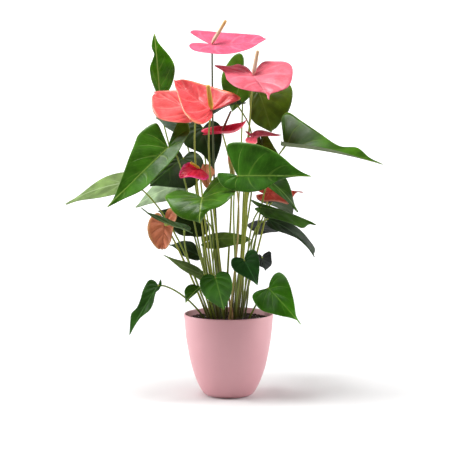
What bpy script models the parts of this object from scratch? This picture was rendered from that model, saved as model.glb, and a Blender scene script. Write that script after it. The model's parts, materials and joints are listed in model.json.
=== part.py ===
# Potted flamingo flower (anthurium): a smooth tapered pot filled with soil, leaves on long stalks,
# open and fading blooms with their spadices, and the dry sheath at the foot of the plant.
# Tables are in millimetres. The origin is the middle of the pot's underside and the viewer stands at -Y.
import math
import random

import bmesh
import bpy
import numpy as np
from mathutils import Vector
from mathutils.bvhtree import BVHTree

MM = 0.001

# Pot: a thin-walled planter, as (radius, height) up its outer wall, over its rim and up its inner wall
POT_OUTLINE = [
    (41, 0), (47.5, 2.2), (54, 9), (62, 24), (67, 36),
    (72.8, 53), (77, 69), (80.4, 85), (85.7, 118), (90, 163),
]
POT_RIM = [(89.4, 165.4), (87.6, 165.4)]
POT_INSIDE = [(46, 5), (59, 24), (69.8, 53), (77.4, 85), (82.7, 118), (87, 163)]
POT_SIDES = 40

# Soil: fills the pot to just under the rim, with a lumpy top
SOIL_TOP = 155.0
SOIL_GAP = 0.3
SOIL_LUMPS = 2.2
SOIL_CROWN = 3.0
SOIL_EDGE_DROP = 2.0
SOIL_RINGS = 4
HOLE_DEPTH = 16.0
HOLE_GAP = 0.35
HOLE_SIDES = 6
HOLE_RISE = 16.0

# Blades: each half is drawn as side veins that run to its margin from these shares of the midrib's length
VEIN_FEET = (0.0, 0.0, 0.0, 0.0, 0.0, 0.05, 0.16, 0.36, 0.60, 0.83)
BLADE_THICKNESS = 0.8
RIB_THICKNESS = 1.7
VEIN_STEPS = 2
FOLD_EASE = 6.0

# Stalks: radii at the foot and at the blade, and the room each keeps from its neighbours
STALK_SIDES = 5
STALK_POINTS = 7
LEAF_STALK = (2.0, 1.5)
BLOOM_STALK = (2.3, 1.7)
STALK_CLEARANCE = 0.9
FOOT_SPACING = 6.8
FOOT_SPREAD = (5.0, 42.0)
RELAX_TURNS = 200
STALK_SAMPLES = 5
BLADE_CLEARANCE = 1.4
JOINT_KNUCKLE = 2.1
JOINT_SINK = 0.9
FOOT_JITTER = 3.0

# Spadix: the finger of tiny florets that stands on the joint of a spathe
SPADIX_SIDES = 8
SPADIX_RINGS = 9
FLORET_RELIEF = 0.09
PART_GAP = 0.3

# The dry sheath: points up its middle, and its radius at each
SHEATH_LINE = [(2, -24, 143), (4, -25, 160), (5, -26, 172), (3, -27, 188), (-1, -27, 212)]
SHEATH_RADII = [4.6, 4.6, 3.6, 2.4, 0.7]
SHEATH_SIDES = 7
SHEATH_ROOM = 9.0

# Young bud in the notch of the great middle leaf, with the radius and place of each ring of its tip
BUD = dict(foot=(4, -30), joint=(10, -92, 448), top=(-1, -96, 486), thick=4.8)
BUD_RINGS = [(0.15, 0.75), (0.4, 1.0), (0.7, 0.8), (0.9, 0.4), (1.0, 0.16)]

# Leaves: joint with the stalk, tip and the way the upper face looks. Each half has the points of its
# margin from the sinus to the tip, along and across the blade, or its width and the lobe behind the
# joint, and its upward fold in degrees
LEAVES = {
    "upright": dict(
        joint=(-140, 70, 599), tip=(-150, 55, 728), face=(0.1, -1, 0.1),
        left=[(-1, 4), (3, 5), (8, 7), (16, 9), (25, 12),
              (40, 16), (62, 17), (77, 10), (89, 5), (105, 9)],
        right=[(-2, 2), (1, 9), (10, 17), (18, 23), (30, 29),
               (46, 34), (62, 35), (79, 29), (95, 18), (112, 6)],
        fold=(20, 12), arch=8, curl=0, wave=1.5,
    ),
    "great_left": dict(
        joint=(-118, -70, 502), tip=(-235, -110, 388), face=(0, -1, 0.15),
        left=[(-12, -9), (-34, -22), (-54, -29), (-65, -14), (-54, 8),
              (-30, 18), (7, 31), (48, 34), (98, 34), (137, 15)],
        right=[(-5, 12), (-11, 27), (-18, 49), (-1, 57), (25, 58),
               (46, 49), (71, 38), (96, 26), (129, 11), (149, 3)],
        fold=(38, 6), arch=8, curl=2, wave=2,
    ),
    "far_left": dict(
        joint=(-195, 30, 429), tip=(-334, 60, 382), face=(0, -0.55, 0.8),
        left=(36, 20), right=(36, 20), belly=0.16, full=0,
        fold=(10, 10), arch=9, curl=4, wave=2,
    ),
    "low_left_back": dict(
        joint=(-107, 60, 419), tip=(-193, 90, 373), face=(0, -0.75, 0.7),
        left=(34, 26), right=(34, 26), belly=0.14, full=0,
        fold=(15, 15), arch=7, curl=4, wave=2,
    ),
    "edge_left": dict(
        joint=(-88, -55, 341), tip=(-170, -85, 386), face=(0.3, -0.3, 0.9),
        left=(26, 16), right=(26, 16), belly=0.14, full=0,
        fold=(30, 8), arch=-6, curl=2, wave=2,
    ),
    "front_centre": dict(
        joint=(-51, -112, 406), tip=(-56, -152, 364), face=(-0.12, -0.62, 0.78),
        left=[(-23, -1), (-43, 5), (-64, 16), (-68, 33), (-44, 56),
              (-5, 73), (22, 63), (35, 43), (35, 21), (43, 10)],
        right=[(-14, 13), (-21, 30), (-25, 52), (-9, 69), (7, 72),
               (24, 63), (39, 53), (50, 37), (54, 21), (55, 9)],
        fold=(22, 12), arch=6, curl=6, wave=2,
    ),
    "great_centre": dict(
        joint=(17, -130, 450), tip=(159, -130, 449), face=(0, -1, 0.12),
        left=[(-4, 7), (-9, 18), (-16, 35), (-22, 53), (-15, 63),
              (10, 64), (46, 57), (79, 41), (106, 19), (123, 8)],
        right=[(-9, -3), (-22, -6), (-38, -5), (-36, 11), (-24, 25),
               (-5, 32), (25, 35), (52, 28), (79, 9), (113, 1)],
        fold=(4, 24), arch=8, curl=3, wave=2, arrive=(0.2, -0.75, 0.6),
    ),
    "great_right": dict(
        joint=(113, 0, 502), tip=(307, -20, 466), face=(0.1, -0.75, 0.65),
        left=[(-7, 16), (-13, 37), (-19, 59), (-18, 78), (-7, 84),
              (22, 63), (63, 39), (105, 20), (141, 25), (168, 8)],
        right=(17, 10), belly=0.05, full=-0.6,
        fold=(6, 96), arch=8, curl=0, wave=3,
    ),
    "high_back": dict(
        joint=(30, 118, 645), tip=(7, 125, 568), face=(0, -0.9, 0.4),
        left=(36, 8), right=(42, 40), belly=0.14, full=0.2,
        fold=(10, 10), arch=6, curl=4, wave=2, arrive=(0, -0.4, 0.9),
    ),
    "olive_back": dict(
        joint=(60, 78, 614), tip=(88, 62, 528), face=(0.1, -0.97, 0.3),
        left=[(-10, 13), (-13, 31), (-8, 51), (4, 64), (20, 67),
              (38, 61), (56, 50), (70, 36), (78, 24), (86, 12)],
        right=[(-10, 2), (-12, 9), (-8, 15), (-1, 20), (12, 24),
               (24, 28), (39, 32), (52, 36), (67, 29), (79, 15)],
        fold=(8, 14), arch=6, curl=3, wave=2, arrive=(0.3, -0.35, 0.9),
    ),
    "lit_edge": dict(
        joint=(15, 45, 587), tip=(-59, 20, 554), face=(0.15, -0.2, 0.95),
        left=(34, 16), right=(36, 16), belly=0.14, full=0,
        fold=(25, 5), arch=6, curl=4, wave=2,
    ),
    "dark_centre": dict(
        joint=(-52, 60, 537), tip=(-31, 50, 455), face=(0, -1, 0.1),
        left=[(-6, 8), (-10, 20), (-4, 31), (8, 37), (22, 35),
              (38, 30), (51, 23), (62, 16), (72, 9), (79, 4)],
        right=[(-9, 4), (-16, 13), (-16, 26), (-7, 38), (9, 45),
               (26, 45), (39, 31), (50, 17), (64, 9), (76, 5)],
        fold=(12, 12), arch=6, curl=3, wave=1,
    ),
    "dark_mid": dict(
        joint=(-92, 42, 476), tip=(-160, 30, 420), face=(0.1, -0.9, 0.4),
        left=[(-6, -2), (-20, -3), (-29, 9), (-28, 30), (-14, 48),
              (5, 60), (30, 62), (48, 45), (65, 25), (77, 10)],
        right=[(-3, 10), (-3, 21), (3, 28), (17, 31), (30, 28),
               (43, 25), (57, 21), (69, 16), (79, 11), (84, 5)],
        fold=(14, 10), arch=6, curl=3, wave=1,
    ),
    "grey_green": dict(
        joint=(-95, 75, 536), tip=(-149, 95, 558), face=(-0.1, -0.5, 0.85),
        left=(28, 20), right=(28, 20), belly=0.16, full=0,
        fold=(14, 14), arch=6, curl=4, wave=2,
    ),
    "right_lobe": dict(
        joint=(66, -34, 503), tip=(113, -46, 453), face=(0.2, -0.9, 0.4),
        left=[(-8, 6), (-15, 12), (-21, 18), (-21, 25), (-7, 24),
              (14, 18), (30, 14), (42, 10), (53, 7), (62, 4)],
        right=[(-9, -6), (-16, -11), (-24, -16), (-32, -14), (-30, -1),
               (-7, 22), (9, 24), (25, 21), (42, 15), (56, 8)],
        fold=(10, 10), arch=4, curl=2, wave=1,
    ),
    "dark_low": dict(
        joint=(-52, 48, 354), tip=(-147, 70, 367), face=(0, -1, 0.2),
        left=[(-6, 5), (-13, 15), (-14, 29), (-1, 40), (16, 42),
              (34, 44), (53, 37), (69, 24), (83, 11), (91, 3)],
        right=[(-1, 7), (-1, 15), (6, 20), (18, 19), (30, 17),
               (45, 16), (59, 13), (71, 10), (82, 6), (90, 3)],
        fold=(10, 10), arch=5, curl=3, wave=1,
    ),
    "right_under": dict(
        joint=(65, -50, 445), tip=(136, -80, 377), face=(0.4, -0.6, 0.6),
        left=(34, 22), right=(30, 22), belly=0.14, full=0,
        fold=(30, 30), arch=8, curl=4, wave=2,
    ),
    "right_low": dict(
        joint=(64, -25, 381), tip=(173, -50, 349), face=(0.1, -0.62, 0.78),
        left=[(-10, 5), (-18, 9), (-25, 14), (-25, 20), (-13, 17),
              (3, 11), (25, 6), (48, 5), (77, 1), (98, 1)],
        right=[(-6, 0), (-11, 1), (-10, 8), (-2, 18), (6, 24),
               (18, 31), (41, 33), (71, 36), (96, 36), (103, 9)],
        fold=(10, 16), arch=8, curl=2, wave=2,
    ),
    "right_dark": dict(
        joint=(79, 8, 355), tip=(175, 30, 276), face=(0.3, -0.7, 0.64),
        left=[(-6, 2), (-10, 3), (-11, 4), (-6, 6), (3, 10),
              (15, 13), (34, 18), (63, 18), (94, 16), (118, 15)],
        right=[(0, 4), (0, 11), (4, 16), (10, 18), (17, 21),
               (27, 20), (43, 14), (69, 4), (99, 1), (107, 1)],
        fold=(10, 10), arch=16, curl=2, wave=1,
    ),
    "back_grey": dict(
        joint=(61, 102, 327), tip=(117, 155, 320), face=(0.2, -0.2, 0.95),
        left=(34, 12), right=(34, 12), belly=0.14, full=0,
        fold=(10, 10), arch=8, curl=4, wave=3,
    ),
    "back_mid": dict(
        joint=(90, 105, 383), tip=(136, 160, 343), face=(0.3, 0.4, 0.85),
        left=(38, 22), right=(38, 22), belly=0.14, full=0,
        fold=(12, 12), arch=8, curl=4, wave=3,
    ),
    "olive_low": dict(
        joint=(-25, 20, 314), tip=(46, 34, 312), face=(0, -0.85, 0.5),
        left=[(-7, -2), (-17, -3), (-28, -4), (-26, 5), (-13, 11),
              (4, 14), (19, 14), (37, 12), (55, 9), (66, 5)],
        right=[(-11, 3), (-20, 6), (-31, 10), (-28, 16), (-16, 21),
               (0, 22), (18, 20), (37, 15), (54, 12), (65, 5)],
        fold=(6, 8), arch=4, curl=2, wave=1, arrive=(0.3, -0.3, 0.9),
    ),
    "dark_left": dict(
        joint=(-56, 88, 270), tip=(-123, 108, 294), face=(-0.2, -0.6, 0.77),
        left=[(0, 1), (-1, 5), (1, 8), (4, 12), (9, 16),
              (16, 18), (26, 18), (37, 16), (52, 7), (66, 1)],
        right=[(1, 5), (3, 9), (8, 12), (15, 16), (22, 21),
               (32, 25), (44, 22), (54, 18), (62, 11), (68, 5)],
        fold=(10, 10), arch=4, curl=3, wave=1,
    ),
    "pale_left": dict(
        joint=(-50, -62, 251), tip=(-128, -80, 293), face=(0.1, -0.75, 0.65),
        left=[(-1, 4), (-2, 10), (0, 15), (3, 16), (10, 13),
              (19, 12), (32, 12), (47, 9), (62, 4), (76, 1)],
        right=[(1, 3), (2, 8), (6, 9), (12, 11), (19, 12),
               (28, 13), (40, 13), (53, 9), (67, 5), (79, 3)],
        fold=(12, 10), arch=-4, curl=1, wave=1,
    ),
    "withered": dict(
        joint=(-47, -22, 465), tip=(-43, -28, 419), face=(-0.1, -0.95, 0.25),
        left=[(-2, 3), (0, 9), (3, 13), (8, 17), (13, 20),
              (19, 20), (24, 15), (31, 11), (38, 6), (44, 4)],
        right=[(-3, 3), (-1, 5), (3, 7), (7, 8), (12, 9),
               (18, 10), (23, 11), (30, 10), (37, 7), (44, 3)],
        fold=(20, 20), arch=3, curl=0, wave=2,
    ),
    "front_heart": dict(
        joint=(-26, -97, 250), tip=(-9, -84, 184), face=(0, -1, 0.1),
        left=(30, 8), right=(34, 10), belly=0.2, full=0.3,
        fold=(10, 10), arch=4, curl=2, wave=1,
    ),
    "curled_small": dict(
        joint=(-57, -52, 225), tip=(-85, -70, 197), face=(-0.2, -0.8, 0.55),
        left=(8, 5),
        right=[(-1, 4), (-1, 6), (1, 10), (2, 14), (5, 18),
               (11, 20), (19, 20), (26, 18), (32, 12), (38, 6)], belly=0.14, full=0.2,
        fold=(50, 12), arch=3, curl=2, wave=1,
    ),
    "hanging_left": dict(
        joint=(-139, -60, 229), tip=(-195, -85, 135), face=(-0.3, -0.9, 0.3),
        left=[(-6, -2), (-14, -5), (-7, 3), (6, 7), (14, 5),
              (23, 8), (35, 14), (52, 16), (72, 5), (92, 1)],
        right=[(-3, 6), (-5, 12), (-4, 19), (2, 24), (13, 24),
               (26, 21), (40, 16), (58, 14), (74, 18), (91, 11)],
        fold=(30, 25), arch=5, curl=2, wave=2,
    ),
    "heart_blue": dict(
        joint=(31, -96, 283), tip=(56, -108, 236), face=(0, -1, 0.2),
        left=[(-7, 4), (-13, 11), (-14, 19), (-10, 27), (1, 29),
              (16, 24), (30, 17), (40, 10), (48, 5), (52, 2)],
        right=[(-6, 2), (-11, 7), (-15, 15), (-13, 23), (-3, 28),
               (9, 27), (22, 20), (34, 12), (44, 5), (51, 2)],
        fold=(6, 8), arch=4, curl=2, wave=1,
    ),
    "back_small": dict(
        joint=(70, 92, 268), tip=(77, 97, 240), face=(0.2, -0.93, 0.3),
        left=[(-5, 5), (-7, 11), (-8, 18), (-4, 22), (2, 20),
              (8, 18), (16, 17), (22, 14), (25, 9), (27, 4)],
        right=[(-6, 1), (-8, 5), (-5, 10), (0, 13), (6, 14),
               (12, 12), (17, 9), (20, 5), (24, 2), (27, 1)],
        fold=(8, 8), arch=3, curl=2, wave=1,
    ),
    "bright_right": dict(
        joint=(79, -60, 224), tip=(141, -100, 158), face=(0, -1, 0.25),
        left=[(-6, 6), (-12, 15), (-16, 28), (-11, 38), (6, 40),
              (29, 33), (51, 22), (66, 13), (78, 5), (88, 2)],
        right=[(-4, 5), (-9, 16), (-11, 28), (-6, 38), (11, 43),
               (29, 42), (46, 32), (62, 20), (75, 8), (86, 1)],
        fold=(6, 16), arch=6, curl=3, wave=2,
    ),
}

# Blooms, in the same way, with the top of the spadix
BLOOMS = {
    "top": dict(
        joint=(-33, -10, 703), tip=(75, -10, 715), spadix=(-5, -10, 751), face=(0, -0.4, 0.91),
        left=[(-10, 12), (-24, 30), (-37, 49), (-41, 60), (-32, 71),
              (-9, 67), (20, 59), (50, 51), (78, 39), (95, 27)],
        right=[(-10, -6), (-23, -12), (-40, -12), (-45, 6), (-36, 33),
               (-13, 45), (18, 48), (49, 42), (75, 32), (92, 14)],
        fold=(4, 2), arch=-5, curl=1, wave=1,
    ),
    "right": dict(
        joint=(48, -40, 642), tip=(77, -105, 596), spadix=(57, -42, 691), face=(0.05, -0.55, 0.83),
        left=[(-16, 11), (-32, 24), (-42, 40), (-34, 58), (-21, 76),
              (4, 80), (40, 67), (65, 49), (70, 27), (71, 9)],
        right=[(-21, -3), (-44, -2), (-57, 10), (-47, 33), (-52, 63),
               (-24, 53), (13, 60), (43, 53), (57, 29), (64, 2)],
        fold=(9, 9), arch=4, curl=2, wave=1,
    ),
    "coral": dict(
        joint=(-34, -85, 575), tip=(-107, -62, 633), spadix=(-40, -102, 623), face=(0.15, -0.72, 0.68),
        left=[(-7, 5), (-14, 18), (-16, 34), (-14, 51), (-4, 59),
              (12, 60), (33, 52), (54, 35), (71, 20), (85, 9)],
        right=[(-4, 7), (-14, 23), (-23, 42), (-28, 55), (-13, 56),
               (5, 51), (28, 44), (51, 34), (71, 24), (86, 14)],
        fold=(14, 22), arch=-4, curl=1, wave=1,
    ),
    "salmon": dict(
        joint=(-64, -32, 570), tip=(-148, -22, 611), spadix=(-82, -45, 608), face=(0.1, -0.72, 0.68),
        left=[(-5, 9), (-8, 20), (-4, 32), (8, 45), (24, 55),
              (40, 62), (57, 64), (73, 53), (84, 34), (91, 15)],
        right=[(-4, 11), (-9, 27), (-6, 41), (9, 48), (27, 44),
               (43, 35), (59, 26), (71, 19), (81, 12), (89, 5)],
        fold=(12, 12), arch=-3, curl=1, wave=1,
    ),
    "crimson": dict(
        joint=(-57, -58, 459), tip=(-96, -78, 444), spadix=(-75, -66, 473), face=(-0.3, -0.7, 0.65),
        left=[(-4, 3), (-4, 17), (1, 37), (14, 47), (20, 38),
              (24, 30), (29, 20), (34, 12), (40, 7), (45, 3)],
        right=[(-1, 8), (0, 14), (2, 20), (7, 23), (15, 23),
               (23, 22), (29, 19), (36, 14), (41, 9), (44, 5)],
        fold=(12, 16), arch=3, curl=1, wave=1,
    ),
    "canoe": dict(
        joint=(-13, 38, 527), tip=(37, 33, 557), spadix=(5, 40, 572), face=(0, -0.3, 0.95),
        left=(24, 34), right=(21, 34), belly=0.2, full=0.5,
        fold=(46, 46), arch=-12, curl=0, wave=1,
    ),
    "rolled": dict(
        joint=(45, -64, 522), tip=(103, -66, 526), spadix=None, face=(0, -0.8, 0.6),
        left=[(-3, 3), (-9, 10), (-12, 14), (-7, 13), (-1, 9),
              (7, 13), (17, 13), (28, 10), (40, 6), (49, 3)],
        right=[(-8, 0), (-11, 1), (-13, 13), (-6, 32), (4, 40),
               (10, 31), (11, 5), (20, 1), (34, 3), (47, 4)],
        fold=(35, 35), arch=2, curl=0, wave=1,
    ),
    "fading_right": dict(
        joint=(80, 58, 402), tip=(152, 52, 407), spadix=None, face=(0.1, -0.8, 0.6),
        left=[(-9, 4), (-19, 10), (-24, 14), (-22, 21), (-7, 25),
              (11, 22), (28, 15), (41, 11), (50, 5), (58, 3)],
        right=[(-6, -2), (-16, -4), (-24, -2), (-21, 10), (-8, 17),
               (8, 17), (25, 23), (41, 31), (49, 18), (58, 1)],
        fold=(10, 8), arch=3, curl=2, wave=2, arrive=(0, -0.6, 0.8),
    ),
    "fading_left": dict(
        joint=(-127, -20, 346), tip=(-132, -30, 297), spadix=(-115, -42, 351), face=(-0.2, -0.95, 0.2),
        left=[(-12, 0), (-26, 0), (-34, 7), (-29, 21), (-18, 25),
              (-3, 21), (16, 19), (32, 18), (43, 13), (49, 7)],
        right=[(-8, 3), (-17, 7), (-23, 16), (-17, 26), (-6, 32),
               (10, 33), (27, 28), (39, 20), (47, 12), (50, 6)],
        fold=(8, 8), arch=2, curl=-4, wave=1,
    ),
}

# Colours, as linear red, green and blue
LEAF_GREENS = {
    "usual": (0.045, 0.13, 0.022),
    "upright": (0.05, 0.19, 0.012),
    "great_right": (0.05, 0.19, 0.012),
    "bright_right": (0.045, 0.19, 0.015),
    "great_left": (0.03, 0.10, 0.02),
    "great_centre": (0.04, 0.12, 0.02),
    "olive_back": (0.07, 0.11, 0.01),
    "olive_low": (0.09, 0.15, 0.03),
    "far_left": (0.18, 0.26, 0.13),
    "low_left_back": (0.25, 0.33, 0.20),
    "pale_left": (0.12, 0.20, 0.05),
    "edge_left": (0.10, 0.18, 0.08),
    "dark_left": (0.015, 0.045, 0.015),
    "right_dark": (0.015, 0.045, 0.015),
    "lit_edge": (0.015, 0.045, 0.015),
    "back_grey": (0.05, 0.06, 0.055),
    "back_small": (0.05, 0.06, 0.055),
    "heart_blue": (0.015, 0.07, 0.03),
    "dark_centre": (0.015, 0.045, 0.015),
    "dark_mid": (0.02, 0.06, 0.015),
    "dark_low": (0.02, 0.06, 0.015),
    "grey_green": (0.08, 0.12, 0.09),
    "withered": (0.66, 0.22, 0.10),
}
STALK_COLOUR = (0.16, 0.24, 0.05)
BLOOM_COLOURS = {
    "top": ((0.78, 0.11, 0.25), (0.85, 0.66, 0.45), 3.9),
    "right": ((0.85, 0.17, 0.24), (0.85, 0.66, 0.50), 4.2),
    "coral": ((0.85, 0.14, 0.15), (0.80, 0.48, 0.08), 5.0),
    "salmon": ((0.86, 0.20, 0.20), (0.80, 0.48, 0.08), 4.2),
    "crimson": ((0.70, 0.02, 0.10), (0.80, 0.45, 0.03), 2.6),
    "canoe": ((0.68, 0.02, 0.12), (0.30, 0.09, 0.06), 2.4),
    "rolled": ((0.80, 0.10, 0.16), (0.5, 0.3, 0.1), 2.0),
    "fading_right": ((0.70, 0.10, 0.06), (0.5, 0.3, 0.1), 2.0),
    "fading_left": ((0.60, 0.20, 0.10), (0.30, 0.32, 0.05), 3.4),
}


def clear_scene():
    """Starts from nothing, so that only the plant is built."""
    for thing in list(bpy.data.objects):
        bpy.data.objects.remove(thing)


def surface(name, colour, roughness):
    """A plain Principled material."""
    material = bpy.data.materials.new(name)
    material.use_nodes = True
    shader = material.node_tree.nodes["Principled BSDF"]
    shader.inputs["Base Color"].default_value = (*colour, 1.0)
    shader.inputs["Roughness"].default_value = roughness
    shader.inputs["Metallic"].default_value = 0.0
    return material


def solid(name, points, faces, material, smooth=True):
    """One closed body from points in millimetres."""
    mesh = bpy.data.meshes.new(name)
    mesh.from_pydata([tuple(c * MM for c in p) for p in points], [], faces)
    work = bmesh.new()
    work.from_mesh(mesh)
    bmesh.ops.triangulate(work, faces=[f for f in work.faces if len(f.verts) > 4])
    bmesh.ops.recalc_face_normals(work, faces=work.faces)
    work.to_mesh(mesh)
    work.free()
    for face in mesh.polygons:
        face.use_smooth = smooth
    mesh.materials.append(material)
    body = bpy.data.objects.new(name, mesh)
    bpy.context.scene.collection.objects.link(body)
    return body


def combine(body, other, operation):
    """Joins other to body, or cuts it away, and removes it."""
    step = body.modifiers.new(operation.lower(), "BOOLEAN")
    step.operation = operation
    step.object = other
    for solver in ("EXACT", "MANIFOLD"):
        step.solver = solver
        view = bpy.context.evaluated_depsgraph_get()
        result = bpy.data.meshes.new_from_object(body.evaluated_get(view))
        if len(result.polygons) > 8:
            break
    body.modifiers.clear()
    body.data = result
    bpy.data.objects.remove(other)


def unit(vector):
    return vector / np.linalg.norm(vector)


def blade_frame(shape):
    """Joint, direction to the tip, direction to the left half and upper face of a blade, and its length."""
    joint = np.array(shape["joint"], float)
    reach = np.array(shape["tip"], float) - joint
    along = unit(reach)
    face = np.array(shape["face"], float)
    face = unit(face - along * face.dot(along))
    return joint, along, np.cross(face, along), face, float(np.linalg.norm(reach))


def half_outline(shape, side, length):
    """Margin points of half a blade from the sinus round the lobe to the tip, along the blade and then
    across it, each with the place on the midrib where its side vein starts. The tables either give the
    points themselves or the width and the lobe of half a plain heart."""
    half = shape["left" if side > 0 else "right"]
    feet = [share * length for share in VEIN_FEET]
    if isinstance(half, list):
        return [(along_mm, across_mm, foot) for (along_mm, across_mm), foot in zip(half, feet)]
    width, lobe = half
    belly = shape["belly"]
    shift = (belly - 0.14) * length
    margin = [
        (-0.42 * lobe, 0.10 * width),
        (-0.86 * lobe, 0.26 * width),
        (-1.00 * lobe, 0.50 * width),
        (-0.76 * lobe + 0.1 * shift, 0.76 * width),
        (-0.20 * lobe + 0.4 * shift, 0.95 * width),
    ]
    for step, share in [(0.0, 1.0), (0.25, 0.88), (0.50, 0.62), (0.72, 0.33), (0.90, 0.11)]:
        share += shape["full"] * 0.9 * share * (1.0 - share)
        margin.append(((belly + (1.0 - belly) * step) * length, share * width))
    return [(along_mm, across_mm, foot) for (along_mm, across_mm), foot in zip(margin, feet)]


def blade_point(shape, frame, side, along_mm, across_mm, turn, reach):
    """A point of the bent blade. side is 1 for the left half and -1 for the right one, turn runs
    round the margin from 0 at the sinus to 1 at the tip, and reach from the midrib to the margin."""
    joint, along, left, face, length = frame
    fold = math.radians(shape["fold"][0 if side > 0 else 1])
    run = along_mm / length
    rise = math.sin(fold) * (math.hypot(max(0.0, across_mm), FOLD_EASE) - FOLD_EASE)
    rise += shape["arch"] * (4.0 * run * (1.0 - run) if run > 0.0 else 2.5 * run)
    rise -= shape["curl"] * reach * reach
    waves = math.sin(2.0 * math.pi * (2.5 * turn) + side * 1.3 + length)
    rise += shape["wave"] * waves * reach * reach * math.sin(math.pi * turn)
    return joint + along * along_mm + left * (side * across_mm * math.cos(fold)) + face * rise


def blade_sheet(shape):
    """Middle surface of a blade: points, triangles, and the share of the rib's thickness at each point."""
    frame = blade_frame(shape)
    length = frame[4]
    points = [blade_point(shape, frame, 1, 0.0, 0.0, 0.0, 0.0)]
    rib = [1.0]
    feet = {0.0: 0}
    triangles = []
    tip = None
    for side in (1, -1):
        rows = half_outline(shape, side, length)
        lines = []
        for number, (margin_along, margin_across, foot) in enumerate(rows):
            turn = (number + 1) / (len(rows) + 1)
            if foot not in feet:
                feet[foot] = len(points)
                points.append(blade_point(shape, frame, 1, foot, 0.0, turn, 0.0))
                rib.append(1.0 - 0.6 * turn)
            line = [feet[foot]]
            for step in range(1, VEIN_STEPS + 1):
                reach = step / VEIN_STEPS
                along_mm = foot + (margin_along - foot) * reach
                across_mm = margin_across * reach
                line.append(len(points))
                points.append(blade_point(shape, frame, side, along_mm, across_mm, turn, reach))
                rib.append(0.0)
            lines.append(line)
        if tip is None:
            tip = len(points)
            points.append(blade_point(shape, frame, 1, length, 0.0, 1.0, 0.0))
            rib.append(0.0)
        lines.append([tip] * (VEIN_STEPS + 1))
        for inner, outer in zip(lines, lines[1:]):
            for step in range(VEIN_STEPS):
                corners = [inner[step], inner[step + 1], outer[step + 1], outer[step]]
                for triple in ((0, 1, 2), (0, 2, 3)):
                    triangle = [corners[c] for c in triple]
                    if len(set(triangle)) == 3:
                        triangles.append(triangle if side < 0 else triangle[::-1])
    return np.array(points), triangles, np.array(rib)


def thick_blade(shape):
    """The blade as a closed body: both faces follow the middle surface and the midrib stands out below."""
    points, triangles, rib = blade_sheet(shape)
    normals = np.zeros_like(points)
    for a, b, c in triangles:
        across = np.cross(points[b] - points[a], points[c] - points[a])
        for corner in (a, b, c):
            normals[corner] += across
    normals /= np.linalg.norm(normals, axis=1)[:, None]
    if normals[0].dot(blade_frame(shape)[3]) < 0:
        normals = -normals
    half = BLADE_THICKNESS / 2.0
    under = half + (RIB_THICKNESS - BLADE_THICKNESS) * rib
    count = len(points)
    both = np.vstack([points + normals * half, points - normals * under[:, None]])
    faces = [list(t) for t in triangles]
    faces += [[c + count for c in reversed(t)] for t in triangles]
    edges = {}
    for a, b, c in triangles:
        for edge in ((a, b), (b, c), (c, a)):
            edges[edge] = True
    for start, end in edges:
        if (end, start) not in edges:
            faces.append([end, start, start + count])
            faces.append([end, start + count, end + count])
    return both, faces


def tube(line, radii, sides):
    """A round stalk along a line of points, with a closed end at either side."""
    line = np.array(line)
    points = []
    faces = []
    way = np.gradient(line, axis=0)
    side = unit(np.cross(way[0], (0.3, 1.0, 0.1)))
    for ring, (centre, radius) in enumerate(zip(line, radii)):
        forward = unit(way[ring])
        side = unit(side - forward * side.dot(forward))
        other = np.cross(forward, side)
        for k in range(sides):
            angle = 2.0 * math.pi * k / sides
            points.append(centre + radius * (math.cos(angle) * side + math.sin(angle) * other))
        if ring:
            for k in range(sides):
                here = (ring - 1) * sides + k
                there = (ring - 1) * sides + (k + 1) % sides
                faces.append([here, there, there + sides])
                faces.append([here, there + sides, here + sides])
    last = (len(line) - 1) * sides
    faces.append(list(range(sides))[::-1])
    faces.append(list(range(last, last + sides)))
    return points, faces


def lathe(profile, sides):
    """A turned body from (radius, height) points, closed on the axis at both ends."""
    points = [(0.0, 0.0, profile[0][1])]
    faces = []
    for radius, height in profile:
        for k in range(sides):
            angle = 2.0 * math.pi * k / sides
            points.append((radius * math.cos(angle), radius * math.sin(angle), height))
    points.append((0.0, 0.0, profile[-1][1]))
    last = len(points) - 1
    for k in range(sides):
        following = (k + 1) % sides
        faces.append([0, 1 + following, 1 + k])
        for ring in range(len(profile) - 1):
            low = 1 + ring * sides
            high = low + sides
            faces.append([low + k, low + following, high + following, high + k])
        top = 1 + (len(profile) - 1) * sides
        faces.append([top + k, top + following, last])
    return points, faces


def inner_radius(height):
    """Radius of the pot's inner wall at a height."""
    return float(np.interp(height, [z for _, z in POT_INSIDE], [r for r, _ in POT_INSIDE]))


def make_pot():
    points, faces = lathe(POT_OUTLINE + POT_RIM + POT_INSIDE[::-1], POT_SIDES)
    return solid("pot", points, faces, surface("pot_plastic", (0.78, 0.35, 0.39), 0.38))


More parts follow.
